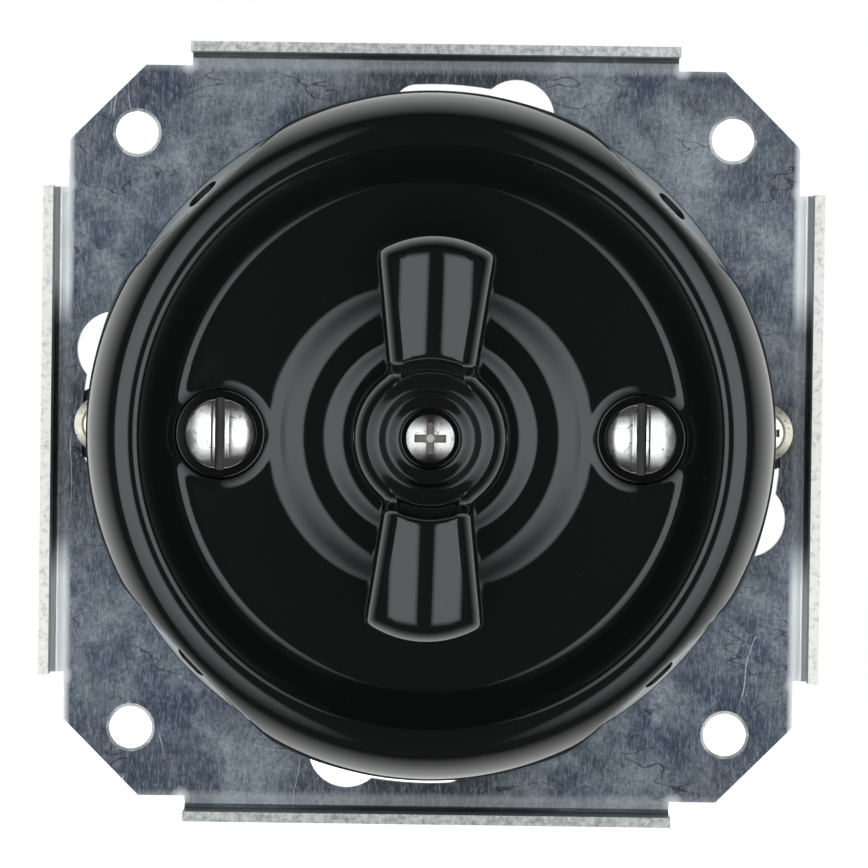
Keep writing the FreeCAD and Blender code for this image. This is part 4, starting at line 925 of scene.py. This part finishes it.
def crossed_nickel(name, middle, top, tone, warm=0.0, groove=None):
    """Nickel of a screw with a cross recess round a middle (x, z), below a top: the recess is brown with a
    painted highlight in its middle, and the head is painted darker above and below it as a dark
    reflection. A groove of a given inner radius is dark, with the head brighter inside it."""
    f = Nickel(name, tone, warm)
    x, y, z = f.parts()
    up = f.math("SUBTRACT", z, middle[1] * MM)
    r = f.distance(f.math("SUBTRACT", x, middle[0] * MM), up)
    reach = CROSS_REACH * MM
    # head darker above and below the cross: painted dark reflection
    f.paint(f.span(f.math("ABSOLUTE", up), 0.5 * reach, 1.35 * reach, 0.0, 0.8), (0.06, 0.06, 0.06))
    if groove:
        f.paint(f.both(f.span(r, (groove - 0.1) * MM, groove * MM, 1.0, 0.0), 0.6), (0.85, 0.84, 0.82))
        ring = f.both(f.span(r, (groove - 0.1) * MM, groove * MM),
                      f.span(r, (groove + 0.2) * MM, (groove + 0.3) * MM, 1.0, 0.0))
        f.paint(f.both(ring, 0.85), (0.09, 0.08, 0.065))
    inside = f.both(f.below(r, reach), f.above(y, (0.03 - top) * MM))
    f.paint(inside, (0.22, 0.19, 0.165))
    # bright spot in the middle of the cross: painted highlight
    f.paint(f.both(inside, f.span(r, 0.2 * reach, 0.28 * reach, 1.0, 0.0)), (0.55, 0.53, 0.5))
    return f.finished(inside)


def plain_metal(name, dark, light, rough):
    """Metal with cloudy colour and grain."""
    f = Finish(name).set(Metallic=1.0)
    f.to("Base Color", f.ramp(f.noise(420, 5, 0.62), (0.3, dark), (0.7, light)))
    f.to("Roughness", f.span(f.noise(900, 4, 0.6), 0.3, 0.75, rough * 0.8, rough * 1.25))
    f.bump(f.noise(1600, 4, 0.65), 0.00002, 0.3)
    return f.material


def moulding():
    """Brown-black phenolic moulding with a fine flow grain."""
    f = Finish("phenolic").set(IOR=1.5)
    f.to("Base Color", f.ramp(f.noise(240, 6, 0.65), (0.3, (0.012, 0.009, 0.008)),
                              (0.7, (0.034, 0.024, 0.02))))
    f.to("Roughness", f.span(f.noise(600, 4, 0.6), 0.3, 0.75, 0.3, 0.46))
    f.bump(f.noise(1200, 3, 0.6), 0.00003, 0.3)
    return f.material


def fibre():
    """Grey vulcanised fibre, matt."""
    f = Finish("fibre_board")
    f.to("Base Color", f.ramp(f.noise(800, 6, 0.7), (0.3, (0.07, 0.068, 0.062)),
                              (0.7, (0.13, 0.125, 0.115))))
    f.to("Roughness", f.span(f.noise(900, 3, 0.6), 0.3, 0.7, 0.55, 0.75))
    f.bump(f.noise(2200, 4, 0.7), 0.00003, 0.5)
    return f.material


def dress(material, *names):
    """Gives CAD nodes a material in place of their plain one."""
    for name in names:
        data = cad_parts[name].data
        data.materials.clear()
        data.materials.append(material)


def numbered(name):
    """Names of four like nodes."""
    return ["%s_%d" % (name, n) for n in (1, 2, 3, 4)]


# Studio

def staged(name, points, quads, material):
    """Piece of the studio, which isn't part of the switch."""
    data = bpy.data.meshes.new(name)
    data.from_pydata(points, [], quads)
    obj = bpy.data.objects.new(name, data)
    bpy.context.scene.collection.objects.link(obj)
    data.materials.append(material)
    data.shade_smooth()
    return obj


def pale_floor():
    """Floor that the lower flange stands on, kept out of the reflections."""
    f = Finish("pale_floor").set(Base_Color=(0.8, 0.8, 0.8, 1), Roughness=0.9,
                                 Emission_Color=(1, 1, 1, 1), Emission_Strength=FLOOR_GLOW)
    z = CAD_BOX[0][2] - 0.0001
    points = [(-FLOOR_REACH, -FLOOR_REACH, z), (FLOOR_REACH, -FLOOR_REACH, z),
              (FLOOR_REACH, FLOOR_END, z), (-FLOOR_REACH, FLOOR_END, z)]
    floor = staged("pale_floor", points, [(0, 1, 2, 3)], f.material)
    floor.visible_glossy = False


def faded(nodes, links, value, low, high, to_low, to_high):
    """Smooth change of a value between low and high, from to_low to to_high."""
    fade = nodes.new("ShaderNodeMapRange")
    fade.interpolation_type = "SMOOTHSTEP"
    for name, number in (("From Min", low), ("From Max", high), ("To Min", to_low), ("To Max", to_high)):
        fade.inputs[name].default_value = number
    links.new(value, fade.inputs["Value"])
    return fade.outputs["Result"]


def light_bowl():
    """White surround behind and beside the switch: part of a sphere, (sin a cos t, -cos a,
    sin a sin t) times its radius, whose glow fades out evenly towards the camera's side."""
    angle = np.radians(np.linspace(180, BOWL_OPENING, BOWL_RINGS))[:, None]
    turn = np.linspace(0, 2 * np.pi, BOWL_TURNS, endpoint=False)[None]
    points = np.stack([np.sin(angle) * np.cos(turn), -np.cos(angle) + 0 * turn,
                       np.sin(angle) * np.sin(turn)], axis=-1) * BOWL_RADIUS
    material = bpy.data.materials.new("bowl_glow")
    material.use_nodes = True
    nodes = material.node_tree.nodes
    links = material.node_tree.links
    nodes.clear()
    split = nodes.new("ShaderNodeSeparateXYZ")
    links.new(nodes.new("ShaderNodeTexCoord").outputs["Object"], split.inputs["Vector"])
    begin, end = [-BOWL_RADIUS * math.cos(math.radians(turned)) for turned in BOWL_FADE]
    glow = nodes.new("ShaderNodeEmission")
    glow.inputs["Color"].default_value = (0.985, 1.0, 0.99, 1)
    strength = faded(nodes, links, split.outputs["Y"], begin, end, 0.0, BOWL_GLOW)
    links.new(strength, glow.inputs["Strength"])
    out = nodes.new("ShaderNodeOutputMaterial")
    links.new(glow.outputs["Emission"], out.inputs["Surface"])
    quads = grid_quads(BOWL_RINGS, BOWL_TURNS, True)
    bowl = staged("light_bowl", points.reshape(-1, 3), quads.tolist(), material)
    bowl.visible_camera = False
    bowl.visible_shadow = False


def softbox(name, side):
    """Tall softbox to one side of the camera, aimed at the switch, dimmer towards its edges:
    its light is the product of two shares, each by the distance from a middle line."""
    data = bpy.data.lights.new(name, "AREA")
    data.shape = "RECTANGLE"
    data.size, data.size_y = SOFTBOX_SIZE
    data.energy = SOFTBOX_POWER
    data.color = (0.95, 0.995, 1.02)
    data.use_nodes = True
    nodes = data.node_tree.nodes
    links = data.node_tree.links
    split = nodes.new("ShaderNodeSeparateXYZ")
    links.new(nodes.new("ShaderNodeNewGeometry").outputs["Parametric"], split.inputs["Vector"])
    both = nodes.new("ShaderNodeMath")
    both.operation = "MULTIPLY"
    for socket, (output, soft, low) in zip(both.inputs, SOFTBOX_FADES):
        off = nodes.new("ShaderNodeMath")
        off.operation = "SUBTRACT"
        off.inputs[1].default_value = 0.5
        links.new(split.outputs[output], off.inputs[0])
        size = nodes.new("ShaderNodeMath")
        size.operation = "ABSOLUTE"
        links.new(off.outputs["Value"], size.inputs[0])
        links.new(faded(nodes, links, size.outputs["Value"], 0.5, 0.5 - soft, low, 1.0), socket)
    links.new(both.outputs["Value"], nodes["Emission"].inputs["Strength"])
    light = bpy.data.objects.new(name, data)
    bpy.context.scene.collection.objects.link(light)
    turn = math.radians(SOFTBOX_TURN) * side
    place = Vector((math.sin(turn), -math.cos(turn), 0.0)) * SOFTBOX_DISTANCE
    aim = (-place).to_track_quat("-Z", "Y").to_matrix().to_4x4()
    light.matrix_world = Matrix.Translation(place) @ aim


def white_room():
    """World that is white where the camera looks past the floor and nearly dark otherwise."""
    world = bpy.data.worlds.new("white_room")
    bpy.context.scene.world = world
    world.use_nodes = True
    nodes = world.node_tree.nodes
    links = world.node_tree.links
    nodes.clear()
    mix = nodes.new("ShaderNodeMixShader")
    links.new(nodes.new("ShaderNodeLightPath").outputs["Is Camera Ray"], mix.inputs["Fac"])
    for socket, strength in ((mix.inputs[1], FILL), (mix.inputs[2], 1.0)):
        background = nodes.new("ShaderNodeBackground")
        background.inputs["Color"].default_value = (1, 1, 1, 1)
        background.inputs["Strength"].default_value = strength
        links.new(background.outputs["Background"], socket)
    out = nodes.new("ShaderNodeOutputWorld")
    links.new(mix.outputs["Shader"], out.inputs["Surface"])


def camera():
    """Camera at the photograph's angle: a long lens, nearly square to the plate."""
    data = bpy.data.cameras.new("camera")
    data.lens = CAMERA_LENS
    data.clip_start = 0.01
    data.clip_end = 10
    obj = bpy.data.objects.new("camera", data)
    bpy.context.scene.collection.objects.link(obj)
    up = math.radians(CAMERA_UP)
    aside = math.radians(CAMERA_ROUND)
    way = Vector((math.sin(aside) * math.cos(up), -math.cos(aside) * math.cos(up), math.sin(up)))
    target = Vector(CAMERA_TARGET) * MM
    place = target + way * CAMERA_DISTANCE
    turn = (target - place).to_track_quat("-Z", "Y").to_matrix().to_4x4()
    roll = Matrix.Rotation(math.radians(CAMERA_ROLL), 4, "Z")
    obj.matrix_world = Matrix.Translation(place) @ turn @ roll
    bpy.context.scene.camera = obj


glaze = black_glaze()
glazed_cover(glaze)
winged_knob(glaze)
dress(zinc_sheet(), "mounting_plate")
dress(crossed_nickel("knob_screw_nickel", (0, 0), KNOB_HEAD_TOP, tone=0.62), "knob_screw")

for side_name, side in (("left", -1), ("right", 1)):
    screw = "cover_screw_" + side_name
    cover_screw(screw, side * SCREW_OFFSET, slotted_nickel(screw + "_nickel", side * SCREW_OFFSET))
    fixing = "fixing_screw_" + side_name
    low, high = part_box(fixing)
    middle = ((low[0] + high[0]) / 2 / MM, (low[2] + high[2]) / 2 / MM)
    dress(crossed_nickel(fixing + "_nickel", middle, FIXING_TOP, tone=0.66, warm=0.2,
                         groove=FIXING_GROOVE), fixing)

dress(plain_metal("bare_steel", (0.3, 0.3, 0.3), (0.5, 0.5, 0.5), 0.35),
      "bearing_strap", "base_screws", "spindle", "retaining_clip", "thrust_washer", "detent_cam",
      "detent_spring_left", "detent_spring_right")
dress(moulding(), "switch_base", "contact_carrier")
dress(plain_metal("brass", (0.52, 0.36, 0.13), (0.75, 0.56, 0.24), 0.3),
      "contact_bridge", "contact_rivets", "terminal_screws", *numbered("terminal"))
dress(plain_metal("spring_bronze", (0.45, 0.24, 0.11), (0.62, 0.36, 0.18), 0.32),
      *numbered("contact_spring"))
dress(fibre(), "screw_keeper_left", "screw_keeper_right")

white_room()
pale_floor()
light_bowl()
softbox("softbox_left", -1)
softbox("softbox_right", 1)
camera()

scene = bpy.context.scene
scene.view_settings.view_transform = "Standard"
